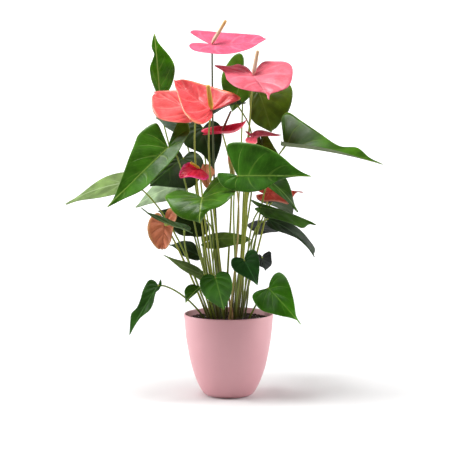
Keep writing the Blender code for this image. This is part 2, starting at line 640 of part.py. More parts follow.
def make_soil(feet):
    """The soil with a plain hole for every stalk."""
    chance = random.Random(11)
    sides = POT_SIDES
    walls = [(radius - SOIL_GAP, height + SOIL_GAP) for radius, height in POT_INSIDE[:-1]]
    walls.append((inner_radius(SOIL_TOP) - SOIL_GAP, SOIL_TOP - SOIL_EDGE_DROP))
    points, faces = lathe(walls, sides)
    points.pop()
    faces = [f for f in faces if max(f) < len(points)]
    edge = walls[-1][0]
    ring_start = len(points) - sides
    for ring in range(1, SOIL_RINGS):
        radius = edge * (1.0 - ring / SOIL_RINGS)
        start = len(points)
        for k in range(sides):
            angle = 2.0 * math.pi * (k + 0.5 * (ring % 2)) / sides
            far = radius + chance.uniform(-2.0, 2.0)
            height = SOIL_TOP + SOIL_CROWN * (1.0 - radius / edge) + chance.uniform(-SOIL_LUMPS, SOIL_LUMPS)
            points.append((far * math.cos(angle), far * math.sin(angle), height))
        for k in range(sides):
            following = (k + 1) % sides
            if ring % 2:
                faces.append([ring_start + k, ring_start + following, start + k])
                faces.append([ring_start + following, start + following, start + k])
            else:
                faces.append([ring_start + k, start + following, start + k])
                faces.append([ring_start + k, ring_start + following, start + following])
        ring_start = start
    points.append((0.0, 0.0, SOIL_TOP + SOIL_CROWN))
    for k in range(sides):
        faces.append([ring_start + k, ring_start + (k + 1) % sides, len(points) - 1])
    soil = solid("soil", points, faces, surface("soil_peat", (0.035, 0.02, 0.013), 0.95), smooth=False)
    wider = 1.0 / math.cos(math.pi / HOLE_SIDES)
    hole_points = []
    hole_faces = []
    for foot, ahead, radius in feet:
        lean = unit(ahead - foot)
        bottom = foot - lean * PART_GAP
        top = foot + lean * (HOLE_DEPTH + HOLE_RISE)
        ring_points, ring_faces = tube([bottom, top], [(radius + HOLE_GAP) * wider] * 2, HOLE_SIDES)
        hole_faces += [[c + len(hole_points) for c in f] for f in ring_faces]
        hole_points += list(ring_points)
    cutter = solid("holes", hole_points, hole_faces, surface("cutter", (0.5, 0.5, 0.5), 0.5))
    cutter.display_type = "WIRE"
    cutter.hide_render = True
    combine(soil, cutter, "DIFFERENCE")
    return soil


def first_stalk(kind, name, shape, chance):
    """Foot of a stalk in the soil, and the end and direction in which it reaches its blade. The foot
    stands on the side its blade hangs on, the further out the more the stalk leans."""
    joint, along, _, face, _ = blade_frame(shape)
    if kind == "leaf":
        arrive = along * 0.45 + face * 0.9
        radii = LEAF_STALK
    else:
        arrive = along * 0.1 + face + np.array((0.0, 0.0, 0.3))
        radii = BLOOM_STALK
    arrive = unit(np.array(shape.get("arrive", arrive), float))
    if kind == "leaf":
        end = joint + face * JOINT_SINK
    else:
        tilt = math.sqrt(1.0 - arrive.dot(face) ** 2)
        end = joint - face * (RIB_THICKNESS - BLADE_THICKNESS / 2.0 + PART_GAP + 1.8 * tilt * radii[1])
    away = math.hypot(joint[0], joint[1])
    lean = away / (joint[2] - SOIL_TOP)
    spread = FOOT_SPREAD[0] + FOOT_SPREAD[1] * lean / (lean + 0.35)
    foot = np.array((joint[0] / away * spread, joint[1] / away * spread, SOIL_TOP - HOLE_DEPTH))
    foot[:2] += (chance.uniform(-FOOT_JITTER, FOOT_JITTER), chance.uniform(-FOOT_JITTER, FOOT_JITTER))
    return dict(name=name, kind=kind, foot=foot, end=end, arrive=arrive, radii=radii)


def spread_feet(feet):
    """Moves the feet apart in the soil, and away from the dry sheath."""
    sheath = np.array(SHEATH_LINE[0][:2])
    for _ in range(400):
        apart = feet[:, None, :2] - feet[None, :, :2]
        distance = np.linalg.norm(apart, axis=2) + np.eye(len(feet)) * 1000.0
        near = np.clip(FOOT_SPACING - distance, 0.0, None)
        feet[:, :2] += (apart / distance[:, :, None] * near[:, :, None]).sum(axis=1) * 0.3
        apart = feet[:, :2] - sheath
        distance = np.linalg.norm(apart, axis=1)
        feet[:, :2] += apart / distance[:, None] * np.clip(SHEATH_ROOM - distance, 0.0, None)[:, None] * 0.5


def swept_line(stalk):
    """A stalk's first line: up out of the soil, leaning outwards, and round into its blade."""
    foot = stalk["foot"]
    end = stalk["end"]
    stretch = np.linalg.norm(end - foot)
    lean = unit(np.array((foot[0] * 0.6, foot[1] * 0.6, 60.0)))
    low_handle = foot + lean * stretch * 0.4
    high_handle = end - stalk["arrive"] * stretch * 0.28
    steps = np.linspace(0.0, 1.0, STALK_POINTS)[:, None]
    rest = 1.0 - steps
    return (rest ** 3 * foot + 3.0 * rest ** 2 * steps * low_handle
            + 3.0 * rest * steps ** 2 * high_handle + steps ** 3 * end)


def blade_obstacles(stalks):
    """The sheath and all blades as one search tree, with the stalk that each triangle belongs to."""
    sheath_points, sheath_faces = tube(SHEATH_LINE, SHEATH_RADII, SHEATH_SIDES)
    corners = [Vector(p) for p in sheath_points]
    triangles = [f[:3] for f in sheath_faces]
    owners = [-1] * len(triangles)
    for number, stalk in enumerate(stalks):
        if stalk["kind"] != "bud":
            shape = (LEAVES if stalk["kind"] == "leaf" else BLOOMS)[stalk["name"]]
            sheet_points, sheet_triangles, _ = blade_sheet(shape)
            triangles += [[c + len(corners) for c in t] for t in sheet_triangles]
            corners += [Vector(p) for p in sheet_points]
            owners += [number] * len(sheet_triangles)
    return BVHTree.FromPolygons(corners, triangles), owners


def push_off_blades(samples, radii, number, tree, owners, push):
    """Adds to push what moves one stalk clear of the blades of other stalks."""
    for row in range(3, len(samples) - 2):
        room = radii[row] + BLADE_CLEARANCE
        found = tree.find_nearest_range(Vector(samples[row]), room)
        found = [hit for hit in found if owners[hit[2]] != number]
        if found:
            nearest = min(found, key=lambda hit: hit[3])
            away = samples[row] - np.array(nearest[0])
            push[row] += away / (np.linalg.norm(away) + 1e-9) * (room - nearest[3]) * 2.0


def bend_clear(stalks, lines):
    """Bends the stalks little by little until each runs clear of the others and of strange blades."""
    rows = (STALK_POINTS - 1) * STALK_SAMPLES + 1
    weights = np.zeros((rows, STALK_POINTS))
    for row in range(rows):
        low = min(row // STALK_SAMPLES, STALK_POINTS - 2)
        share = row / STALK_SAMPLES - low
        weights[row, low] = 1.0 - share
        weights[row, low + 1] = share
    radii = np.array([np.interp(np.linspace(0, 1, rows), (0, 1), s["radii"]) for s in stalks])
    size = radii.reshape(-1)
    wanted = size[:, None] + size[None] + STALK_CLEARANCE
    owner = np.repeat(np.arange(len(stalks)), rows)
    same = owner[:, None] == owner[None]
    tree, owners = blade_obstacles(stalks)
    free = np.ones(STALK_POINTS)
    free[[0, -1, -2]] = 0.0
    free[1] = 0.6
    for turn in range(RELAX_TURNS):
        dense = np.einsum("rk,skc->src", weights, lines)
        spots = dense.reshape(-1, 3)
        apart = spots[:, None] - spots[None]
        distance = np.sqrt((apart ** 2).sum(axis=2)) + 1e-9
        near = np.where(same, 0.0, np.clip(wanted - distance, 0.0, None))
        push = (apart / distance[..., None] * near[..., None]).sum(axis=1)
        push /= np.maximum((near > 0).sum(axis=1), 1)[:, None]
        push = push.reshape(dense.shape)
        if turn % 2 == 0:
            for number, samples in enumerate(dense):
                push_off_blades(samples, radii[number], number, tree, owners, push[number])
        lines += np.einsum("rk,src->skc", weights, push) / STALK_SAMPLES * free[None, :, None] * 1.2


def plan_stalks():
    """The line of every stalk, from its foot in the soil to its blade."""
    chance = random.Random(7)
    stalks = [first_stalk("leaf", name, shape, chance) for name, shape in LEAVES.items()]
    stalks += [first_stalk("bloom", name, shape, chance) for name, shape in BLOOMS.items()]
    bud_joint = np.array(BUD["joint"], float)
    bud_way = unit(np.array(BUD["top"], float) - bud_joint)
    bud_foot = np.array((*BUD["foot"], SOIL_TOP - HOLE_DEPTH))
    stalks.append(dict(
        name="bud", kind="bud", foot=bud_foot, end=bud_joint, arrive=bud_way, radii=LEAF_STALK,
    ))
    feet = np.array([s["foot"] for s in stalks])
    spread_feet(feet)
    for stalk, foot in zip(stalks, feet):
        stalk["foot"] = foot
    lines = np.array([swept_line(s) for s in stalks])
    bend_clear(stalks, lines)
    for stalk, line in zip(stalks, lines):
        stalk["line"] = line
    return stalks


def make_leaf(name, shape, stalk, material):
    """Blade and stalk, grown together at the joint."""
    points, faces = thick_blade(shape)
    leaf = solid("leaf_" + name, points, faces, material)
    radii = np.linspace(stalk["radii"][0], stalk["radii"][1], STALK_POINTS)
    radii[-1] = JOINT_KNUCKLE
    line_points, line_faces = tube(stalk["line"], radii, STALK_SIDES)
    rod = solid("rod", line_points, line_faces, material)
    combine(leaf, rod, "UNION")
    return leaf


def make_spadix(name, start, end, thick, material):
    """A blunt finger with florets standing out of it in slanting rows, narrowed at its foot and tip."""
    steps = np.linspace(0.0, 1.0, SPADIX_RINGS)
    line = [start + (end - start) * step for step in steps]
    points, faces = tube(line, [1.0] * SPADIX_RINGS, SPADIX_SIDES)
    for ring, step in enumerate(steps):
        radius = thick * (0.4 + 0.6 * min(1.0, step * 6.0)) * (1.0 - 0.25 * step)
        if ring == SPADIX_RINGS - 1:
            radius *= 0.45
        for k in range(SPADIX_SIDES):
            place = ring * SPADIX_SIDES + k
            bump = 1.0 + FLORET_RELIEF * (1.0 if (ring + k) % 2 else -1.0)
            points[place] = line[ring] + (points[place] - line[ring]) * radius * bump
    return solid(name, points, faces, material)


def make_bloom(name, shape, stalk, colour, tone, thick):
    """Spathe, spadix and stalk, each a body of its own colour with a hair's breadth between them."""
    points, faces = thick_blade(shape)
    solid("spathe_" + name, points, faces, surface("spathe_" + name, colour, 0.28))
    radii = np.linspace(stalk["radii"][0], stalk["radii"][1], STALK_POINTS)
    line_points, line_faces = tube(stalk["line"], radii, STALK_SIDES)
    solid("stalk_" + name, line_points, line_faces, surface("stalk_" + name, STALK_COLOUR, 0.5))
    if shape["spadix"]:
        joint, _, _, face, _ = blade_frame(shape)
        end = np.array(shape["spadix"], float)
        way = unit(end - joint)
        tilt = math.sqrt(1.0 - min(1.0, way.dot(face)) ** 2)
        steepest = math.radians(max(shape["fold"]))
        seat = BLADE_THICKNESS / 2.0 + PART_GAP + 0.45 * thick * tilt + 0.8 * math.sin(steepest)
        make_spadix("spadix_" + name, joint + face * seat, end, thick, surface("spadix_" + name, tone, 0.6))


def make_bud(stalk):
    """A rolled young spathe on its stalk, both of one brownish red."""
    top = np.array(BUD["top"], float)
    line = list(stalk["line"])
    radii = list(np.linspace(LEAF_STALK[0], LEAF_STALK[1], STALK_POINTS))
    for step, share in BUD_RINGS:
        line.append(stalk["end"] + (top - stalk["end"]) * step)
        radii.append(BUD["thick"] * share)
    points, faces = tube(line, radii, 6)
    return solid("bud", points, faces, surface("bud", (0.35, 0.10, 0.06), 0.5))


def make_sheath():
    """The dry papery sheath at the foot of the oldest stalks, standing in the soil like them."""
    points, faces = tube(SHEATH_LINE, SHEATH_RADII, SHEATH_SIDES)
    return solid("sheath", points, faces, surface("dry_sheath", (0.35, 0.16, 0.07), 0.8))


def make_all():
    clear_scene()
    make_pot()
    stalks = plan_stalks()
    feet = [(s["line"][0], s["line"][1], s["radii"][0]) for s in stalks]
    feet.append((np.array(SHEATH_LINE[0], float), np.array(SHEATH_LINE[1], float), SHEATH_RADII[0]))
    make_soil(feet)
    make_sheath()
    for stalk in stalks:
        name = stalk["name"]
        if stalk["kind"] == "leaf":
            green = LEAF_GREENS.get(name, LEAF_GREENS["usual"])
            make_leaf(name, LEAVES[name], stalk, surface("leaf_" + name, green, 0.35))
        elif stalk["kind"] == "bud":
            make_bud(stalk)
        else:
            make_bloom(name, BLOOMS[name], stalk, *BLOOM_COLOURS[name])


make_all()
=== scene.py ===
import json
import math
import random

import bpy
import numpy as np
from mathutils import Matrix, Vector
from mathutils.bvhtree import BVHTree

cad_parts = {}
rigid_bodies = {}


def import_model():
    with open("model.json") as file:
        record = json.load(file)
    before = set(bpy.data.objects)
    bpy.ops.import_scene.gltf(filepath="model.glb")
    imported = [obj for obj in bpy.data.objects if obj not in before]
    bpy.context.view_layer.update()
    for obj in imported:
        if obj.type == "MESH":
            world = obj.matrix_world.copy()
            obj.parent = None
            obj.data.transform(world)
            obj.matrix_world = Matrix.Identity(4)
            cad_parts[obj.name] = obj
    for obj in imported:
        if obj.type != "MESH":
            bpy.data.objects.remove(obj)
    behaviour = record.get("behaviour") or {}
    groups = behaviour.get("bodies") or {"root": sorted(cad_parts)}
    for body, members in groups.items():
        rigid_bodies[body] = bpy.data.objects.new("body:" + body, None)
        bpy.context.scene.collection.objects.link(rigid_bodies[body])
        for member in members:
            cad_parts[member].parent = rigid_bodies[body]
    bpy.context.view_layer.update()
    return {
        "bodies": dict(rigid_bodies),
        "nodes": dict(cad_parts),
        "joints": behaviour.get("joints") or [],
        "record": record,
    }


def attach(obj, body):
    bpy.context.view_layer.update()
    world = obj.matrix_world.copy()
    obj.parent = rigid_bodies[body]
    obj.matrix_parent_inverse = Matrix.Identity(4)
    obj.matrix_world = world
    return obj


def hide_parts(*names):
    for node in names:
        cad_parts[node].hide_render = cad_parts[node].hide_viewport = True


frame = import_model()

# The plant stands on a white sweep of paper that curves up behind it. Two tall soft boxes light it from
# the sides, so the pot is darker along its middle, and a third hangs over the blooms.
SWEEP_FRONT = -3.0
SWEEP_MIDDLE = 0.5
SWEEP_BACK = 1.6
SWEEP_BEND = 1.2
SWEEP_TOP = 4.5
SWEEP_SIDE = 4.0
ROOM_LIGHT = 0.05
CAMERA_PLACE = (-0.00726, -3.0, 0.608)
CAMERA_DIP = 5.03
CAMERA_LENS = 120.16


def new_skin(name, **fixed):
    """A material with its tree and shader. fixed holds what is the same all over it."""
    material = bpy.data.materials.new(name)
    material.use_nodes = True
    shader = material.node_tree.nodes["Principled BSDF"]
    for socket, value in fixed.items():
        shader.inputs[socket.replace("_", " ")].default_value = value
    return material, material.node_tree, shader


def add_node(tree, kind, inputs=None, **settings):
    """One shader node. inputs holds numbers, colours or the outputs of other nodes."""
    node = tree.nodes.new("ShaderNode" + kind)
    for name, value in settings.items():
        setattr(node, name, value)
    for key, value in (inputs or {}).items():
        if isinstance(value, bpy.types.NodeSocket):
            tree.links.new(value, node.inputs[key])
        else:
            node.inputs[key].default_value = value
    return node


def number(tree, operation, a, b=0.0, c=0.0):
    return add_node(tree, "Math", {0: a, 1: b, 2: c}, operation=operation).outputs[0]


def times(tree, a, b):
    return number(tree, "MULTIPLY", a, b)


bpy.context.scene.view_settings.view_transform = "Standard"
sweep_line = [(SWEEP_FRONT, 0.0), (SWEEP_MIDDLE, 0.0)]
for degrees in range(0, 100, 10):
    bend = math.radians(degrees)
    sweep_line.append((SWEEP_BACK + SWEEP_BEND * math.sin(bend), SWEEP_BEND * (1.0 - math.cos(bend))))
sweep_line.append((SWEEP_BACK + SWEEP_BEND, SWEEP_TOP))
sweep_mesh = bpy.data.meshes.new("paper_sweep")
sweep_mesh.from_pydata(
    [(x, y, z) for y, z in sweep_line for x in (-SWEEP_SIDE, SWEEP_SIDE)], [],
    [(2 * k, 2 * k + 1, 2 * k + 3, 2 * k + 2) for k in range(len(sweep_line) - 1)],
)
sweep_mesh.polygons.foreach_set("use_smooth", [True] * len(sweep_mesh.polygons))
sweep = bpy.data.objects.new("paper_sweep", sweep_mesh)
bpy.context.scene.collection.objects.link(sweep)

# the paper brightens towards the back, and less of that glow is left above the plant
paper, tree, shader = new_skin("sweep_paper", Base_Color=(0.84, 0.84, 0.84, 1.0), Roughness=0.9,
                               Emission_Color=(1.0, 1.0, 1.0, 1.0))
axes = add_node(tree, "SeparateXYZ", {0: add_node(tree, "TexCoord").outputs["Object"]})
glow = add_node(tree, "MapRange", {"Value": axes.outputs["Y"], "From Min": 0.0, "From Max": 2.4,
                                   "To Min": 0.02, "To Max": 0.75}).outputs["Result"]
fade = add_node(tree, "MapRange", {"Value": axes.outputs["Z"], "From Min": 1.1, "From Max": 1.7,
                                   "To Min": 1.0, "To Max": 0.1}).outputs["Result"]
tree.links.new(times(tree, glow, fade), shader.inputs["Emission Strength"])
sweep_mesh.materials.append(paper)

for box_name, place, aim, width, height, watts in (
    ("soft_box_left", (-1.6, 0.2, 0.6), (0.0, 0.0, 0.3), 0.9, 1.8, 30.0),
    ("soft_box_right", (1.6, 0.2, 0.6), (0.0, 0.0, 0.3), 0.9, 1.8, 27.0),
    ("soft_box_over", (-0.35, -0.35, 2.2), (0.0, 0.0, 0.5), 0.9, 0.7, 44.0),
):
    lamp = bpy.data.lights.new(box_name, "AREA")
    lamp.shape = "RECTANGLE"
    lamp.size = width
    lamp.size_y = height
    lamp.energy = watts
    lamp_stand = bpy.data.objects.new(box_name, lamp)
    lamp_stand.location = place
    lamp_stand.rotation_euler = (Vector(aim) - Vector(place)).to_track_quat("-Z", "Y").to_euler()
    bpy.context.scene.collection.objects.link(lamp_stand)

room = bpy.data.worlds.new("white_room")
room.use_nodes = True
room.node_tree.nodes["Background"].inputs["Color"].default_value = (1.0, 1.0, 1.0, 1.0)
room.node_tree.nodes["Background"].inputs["Strength"].default_value = ROOM_LIGHT
bpy.context.scene.world = room

camera = bpy.data.objects.new("camera", bpy.data.cameras.new("camera"))
camera.location = CAMERA_PLACE
camera.rotation_euler = (math.radians(90.0 - CAMERA_DIP), 0.0, 0.0)
camera.data.sensor_width = 36.0
camera.data.lens = CAMERA_LENS
bpy.context.scene.collection.objects.link(camera)
bpy.context.scene.camera = camera

# The pot is moulded from pink plastic with a satin skin. It is thin walled, rounds in to a small flat
# foot, and is open at the top with a rounded rim.
MM = 0.001
POT_SIDES = 144
RIM_RADIUS = 90.0
RIM_HEIGHT = 163.0
RIM_ROUNDING = (1.5, 2.4)
POT_OUTLINE = [
    (41, 0), (47.5, 2.2), (54, 9), (62, 24), (67, 36),
    (72.8, 53), (77, 69), (80.4, 85), (85.7, 118), (90, 163),
]
POT_INSIDE = [(46, 5), (59, 24), (69.8, 53), (77.4, 85), (82.7, 118), (87, 163)]


def curve_through(points, pieces):
    """A smooth line through points, with pieces steps between each two."""
    points = np.array(points, float)
    ends = np.vstack([2 * points[0] - points[1], points, 2 * points[-1] - points[-2]])
    line = []
    for k in range(len(points) - 1):
        a, b, c, d = ends[k:k + 4]
        for share in np.arange(pieces) / pieces:
            line.append(0.5 * (2 * b + (c - a) * share + (2 * a - 5 * b + 4 * c - d) * share ** 2
                               + (3 * b - a - 3 * c + d) * share ** 3))
    line.append(points[-1])
    return np.array(line)


def make_piece(name, points, faces, materials, node=None, marks=None, smooth=True, slots=None):
    """A mesh object from points in millimetres, riding on the plant. marks holds values per point that
    the materials read, and slots the material number of each face."""
    mesh = bpy.data.meshes.new(name)
    mesh.from_pydata((np.array(points, float) * MM).tolist(), [], [list(map(int, f)) for f in faces])
    for mark, values in (marks or {}).items():
        values = np.array(values, np.float32)
        if values.ndim == 2:
            mesh.attributes.new(mark, "FLOAT_VECTOR", "POINT").data.foreach_set("vector", values.ravel())
        else:
            mesh.attributes.new(mark, "FLOAT", "POINT").data.foreach_set("value", values)
    mesh.polygons.foreach_set("use_smooth", [smooth] * len(mesh.polygons))
    for material in materials:
        mesh.materials.append(material)
    if slots is not None:
        mesh.polygons.foreach_set("material_index", slots)
    mesh.update()
    piece = bpy.data.objects.new(name, mesh)
    bpy.context.scene.collection.objects.link(piece)
    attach(piece, "root")
    if node:
        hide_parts(node)
    return piece


def between(tree, value, low, high, start=0.0, end=1.0):
    """start where value is low, end where it is high, and a soft change between them."""
    return add_node(tree, "MapRange", {"Value": value, "From Min": low, "From Max": high,
                                       "To Min": start, "To Max": end},
                    interpolation_type="SMOOTHSTEP").outputs["Result"]


def blend(tree, share, first, second, how="MIX"):
    """first where share is 0 and second where it is 1."""
    if isinstance(first, tuple):
        first = (*first, 1.0)
    if isinstance(second, tuple):
        second = (*second, 1.0)
    return add_node(tree, "Mix", {0: share, 6: first, 7: second}, data_type="RGBA", blend_type=how).outputs[2]


def cloud(tree, size_mm, detail=2.0, rough=0.5):
    """Soft random patches of about this size, from 0 to 1."""
    where = add_node(tree, "TexCoord").outputs["Object"]
    return add_node(tree, "TexNoise", {"Vector": where, "Scale": 1000.0 / size_mm, "Detail": detail,
                                       "Roughness": rough}).outputs["Fac"]


def bump(tree, shader, height, depth_mm, strength=1.0):
    relief = add_node(tree, "Bump", {"Height": height, "Distance": depth_mm * MM, "Strength": strength})
    tree.links.new(relief.outputs["Normal"], shader.inputs["Normal"])


def uneven(tree, size_mm, low, high, detail=2.0):
    """A value that drifts between low and high in soft patches of about this size."""
    return between(tree, cloud(tree, size_mm, detail), 0.3, 0.7, low, high)


def paint(tree, shader, colour, roughness):
    tree.links.new(colour, shader.inputs["Base Color"])
    tree.links.new(roughness, shader.inputs["Roughness"])


def ring_points(radius, height, sides):
    angles = [2.0 * math.pi * k / sides for k in range(sides)]
    return [(radius * math.cos(angle), radius * math.sin(angle), height) for angle in angles]


def ring_faces(rings, sides):
    """Faces of a body of stacked rings, closed by one point in the middle of each end."""
    faces = []
    for k in range(sides):
        after = (k + 1) % sides
        faces.append([0, 1 + after, 1 + k])
        for ring in range(rings - 1):
            low = 1 + ring * sides
            faces.append([low + k, low + after, low + sides + after, low + sides + k])
        top = 1 + (rings - 1) * sides
        faces.append([top + k, top + after, top + sides])
    return faces


pot_plastic, tree, shader = new_skin("pot_plastic", Specular_IOR_Level=0.45)
paint(tree, shader, blend(tree, cloud(tree, 60.0), (0.70, 0.35, 0.385), (0.74, 0.385, 0.42)),
      uneven(tree, 25.0, 0.38, 0.46))
bump(tree, shader, cloud(tree, 0.9, detail=3.0), 0.04)

rim = [(RIM_RADIUS - RIM_ROUNDING[0] * (1.0 - math.cos(math.radians(a))),
        RIM_HEIGHT + RIM_ROUNDING[1] * math.sin(math.radians(a))) for a in range(20, 180, 20)]
pot_profile = np.vstack([curve_through(POT_OUTLINE, 6), rim, curve_through(POT_INSIDE[::-1], 5)])
pot_points = [(0.0, 0.0, pot_profile[0][1])]
for radius, height in pot_profile:
    pot_points += ring_points(radius, height, POT_SIDES)
pot_points.append((0.0, 0.0, pot_profile[-1][1]))
pot_faces = ring_faces(len(pot_profile), POT_SIDES)
make_piece("pot_moulded", pot_points, pot_faces, [pot_plastic], "pot")

# Damp peat fills the pot to just under its rim, pressed in round the stalks. Crumbs of peat and bark and
# white grains of perlite lie loose on top.
PART_GAP = 0.3
SOIL_TOP = 155.0
SOIL_CROWN = 3.0
SOIL_RADIUS = 85.8
SOIL_EDGE = 151.0
SOIL_RINGS = 30
SOIL_SIDES = 150
CRUMBLE = 0.35
GRAINS_RADIUS = 82.0

peat, tree, shader = new_skin("peat")
paint(tree, shader,
      blend(tree, cloud(tree, 9.0, detail=4.0, rough=0.65), (0.012, 0.006, 0.004), (0.075, 0.036, 0.02)),
      uneven(tree, 4.0, 0.7, 1.0))
bump(tree, shader, cloud(tree, 2.2, detail=4.0, rough=0.7), 0.8)

soil_wall = [(r - PART_GAP, z + PART_GAP) for r, z in POT_INSIDE[:-1]] + [(SOIL_RADIUS, SOIL_EDGE)]


def soil_height(x, y):
    """Height of the soil's lumpy top."""
    far = math.hypot(x, y) / 86.0
    lumps = 1.3 * math.sin(x * 0.21 + 2.0 * math.sin(y * 0.13)) * math.cos(y * 0.17 + 1.0)
    lumps += (0.7 * math.sin(x * 0.53 + 1.7) * math.sin(y * 0.47 + 0.4)
              + 0.35 * math.sin(x * 1.3) * math.cos(y * 1.1))
    return SOIL_TOP + SOIL_CROWN * (1.0 - far) - 2.0 * far ** 6 + lumps * (1.0 - 0.4 * far)


soil_points = [(0.0, 0.0, soil_wall[0][1])]
for r, z in soil_wall:
    soil_points += ring_points(r, z, SOIL_SIDES)
crumble = random.Random(3)
for ring in range(SOIL_RINGS):
    r = SOIL_RADIUS * (1.0 - ring / SOIL_RINGS)
    for k in range(SOIL_SIDES):
        angle = 2 * math.pi * (k + 0.5 * (ring % 2)) / SOIL_SIDES
        x, y = r * math.cos(angle), r * math.sin(angle)
        soil_points.append((x, y, soil_height(x, y) + crumble.uniform(-CRUMBLE, CRUMBLE)))
soil_points.append((0.0, 0.0, SOIL_TOP + SOIL_CROWN))
soil_faces = ring_faces(len(soil_wall) + SOIL_RINGS, SOIL_SIDES)
make_piece("soil_bed", soil_points, soil_faces, [peat], "soil")

# a small ball of twenty triangles, which each loose grain is a dented copy of
BALL = [(0, 0, 1), (0.894, 0, 0.447), (0.276, 0.851, 0.447), (-0.724, 0.526, 0.447), (-0.724, -0.526, 0.447),
        (0.276, -0.851, 0.447), (0.724, 0.526, -0.447), (-0.276, 0.851, -0.447), (-0.894, 0, -0.447),
        (-0.276, -0.851, -0.447), (0.724, -0.526, -0.447), (0, 0, -1)]
BALL_FACES = [(0, 1, 2), (0, 2, 3), (0, 3, 4), (0, 4, 5), (0, 5, 1),
              (1, 6, 2), (2, 7, 3), (3, 8, 4), (4, 9, 5), (5, 10, 1),
              (6, 7, 2), (7, 8, 3), (8, 9, 4), (9, 10, 5), (10, 6, 1),
              (7, 6, 11), (8, 7, 11), (9, 8, 11), (10, 9, 11), (6, 10, 11)]


def scatter(seed, count, small, large, flat):
    """Loose grains over the soil, each a dented lump half sunk in it."""
    chance = random.Random(seed)
    points = []
    faces = []
    for _ in range(count):
        r = GRAINS_RADIUS * math.sqrt(chance.random())
        angle = chance.uniform(0.0, 2.0 * math.pi)
        size = chance.uniform(small, large)
        x, y = r * math.cos(angle), r * math.sin(angle)
        z = soil_height(x, y) + size * flat * 0.35
        turn = chance.uniform(0.0, math.pi)
        long_way = chance.uniform(0.8, 1.6)
        start = len(points)
        for bx, by, bz in BALL:
            dent = chance.uniform(0.7, 1.15)
            px, py, pz = bx * size * dent * long_way, by * size * dent, bz * size * dent * flat
            points.append((x + px * math.cos(turn) - py * math.sin(turn),
                           y + px * math.sin(turn) + py * math.cos(turn), z + pz))
        faces += [(a + start, b + start, c + start) for a, b, c in BALL_FACES]
    return points, faces


crumb_points, crumb_faces = scatter(5, 1500, 0.8, 2.6, 0.7)
make_piece("peat_crumbs", crumb_points, crumb_faces, [peat], smooth=False)

perlite, tree, shader = new_skin("perlite")
paint(tree, shader, blend(tree, cloud(tree, 1.0), (0.45, 0.42, 0.38), (0.85, 0.83, 0.80)),
      uneven(tree, 2.0, 0.7, 0.95))
bump(tree, shader, cloud(tree, 0.5), 0.2)
grain_points, grain_faces = scatter(9, 110, 0.5, 1.4, 0.8)
make_piece("perlite_grains", grain_points, grain_faces, [perlite])

# Every leaf and bloom grows on its own stalk out of the soil, bent clear of its neighbours. The tables give,
# in millimetres, where stalk and blade join, the tip, the way the upper face looks, and for each half its
# margin from the sinus to the tip or its width and the lobe behind the joint. Folds are in degrees.
BLADE_THICKNESS = 0.8
RIB_THICKNESS = 1.7
FOLD_EASE = 6.0
VEIN_FEET = (0.0, 0.0, 0.0, 0.0, 0.0, 0.05, 0.16, 0.36, 0.60, 0.83)
HOLE_DEPTH = 16.0
STALK_POINTS = 7
STALK_SAMPLES = 5
LEAF_STALK = (2.0, 1.5)
BLOOM_STALK = (2.3, 1.7)
STALK_CLEARANCE = 0.9
FOOT_SPACING = 6.8
FOOT_SPREAD = (5.0, 42.0)
FOOT_JITTER = 3.0
RELAX_TURNS = 200
BLADE_CLEARANCE = 1.4
FOOT_TURNS = 400
FOOT_PUSH = 0.3
SHEATH_PUSH = 0.5
STALK_PUSH = 1.2
BLADE_PUSH = 2.0
LEAF_SEAT = 0.9
SHEATH_LINE = [(2, -24, 143), (4, -25, 160), (5, -26, 172), (3, -27, 188), (-1, -27, 212)]
SHEATH_RADII = [4.6, 4.6, 3.6, 2.4, 0.7]
SHEATH_ROOM = 9.0
BUD = dict(foot=(4, -30), joint=(10, -92, 448), top=(-1, -96, 486), thick=4.8)

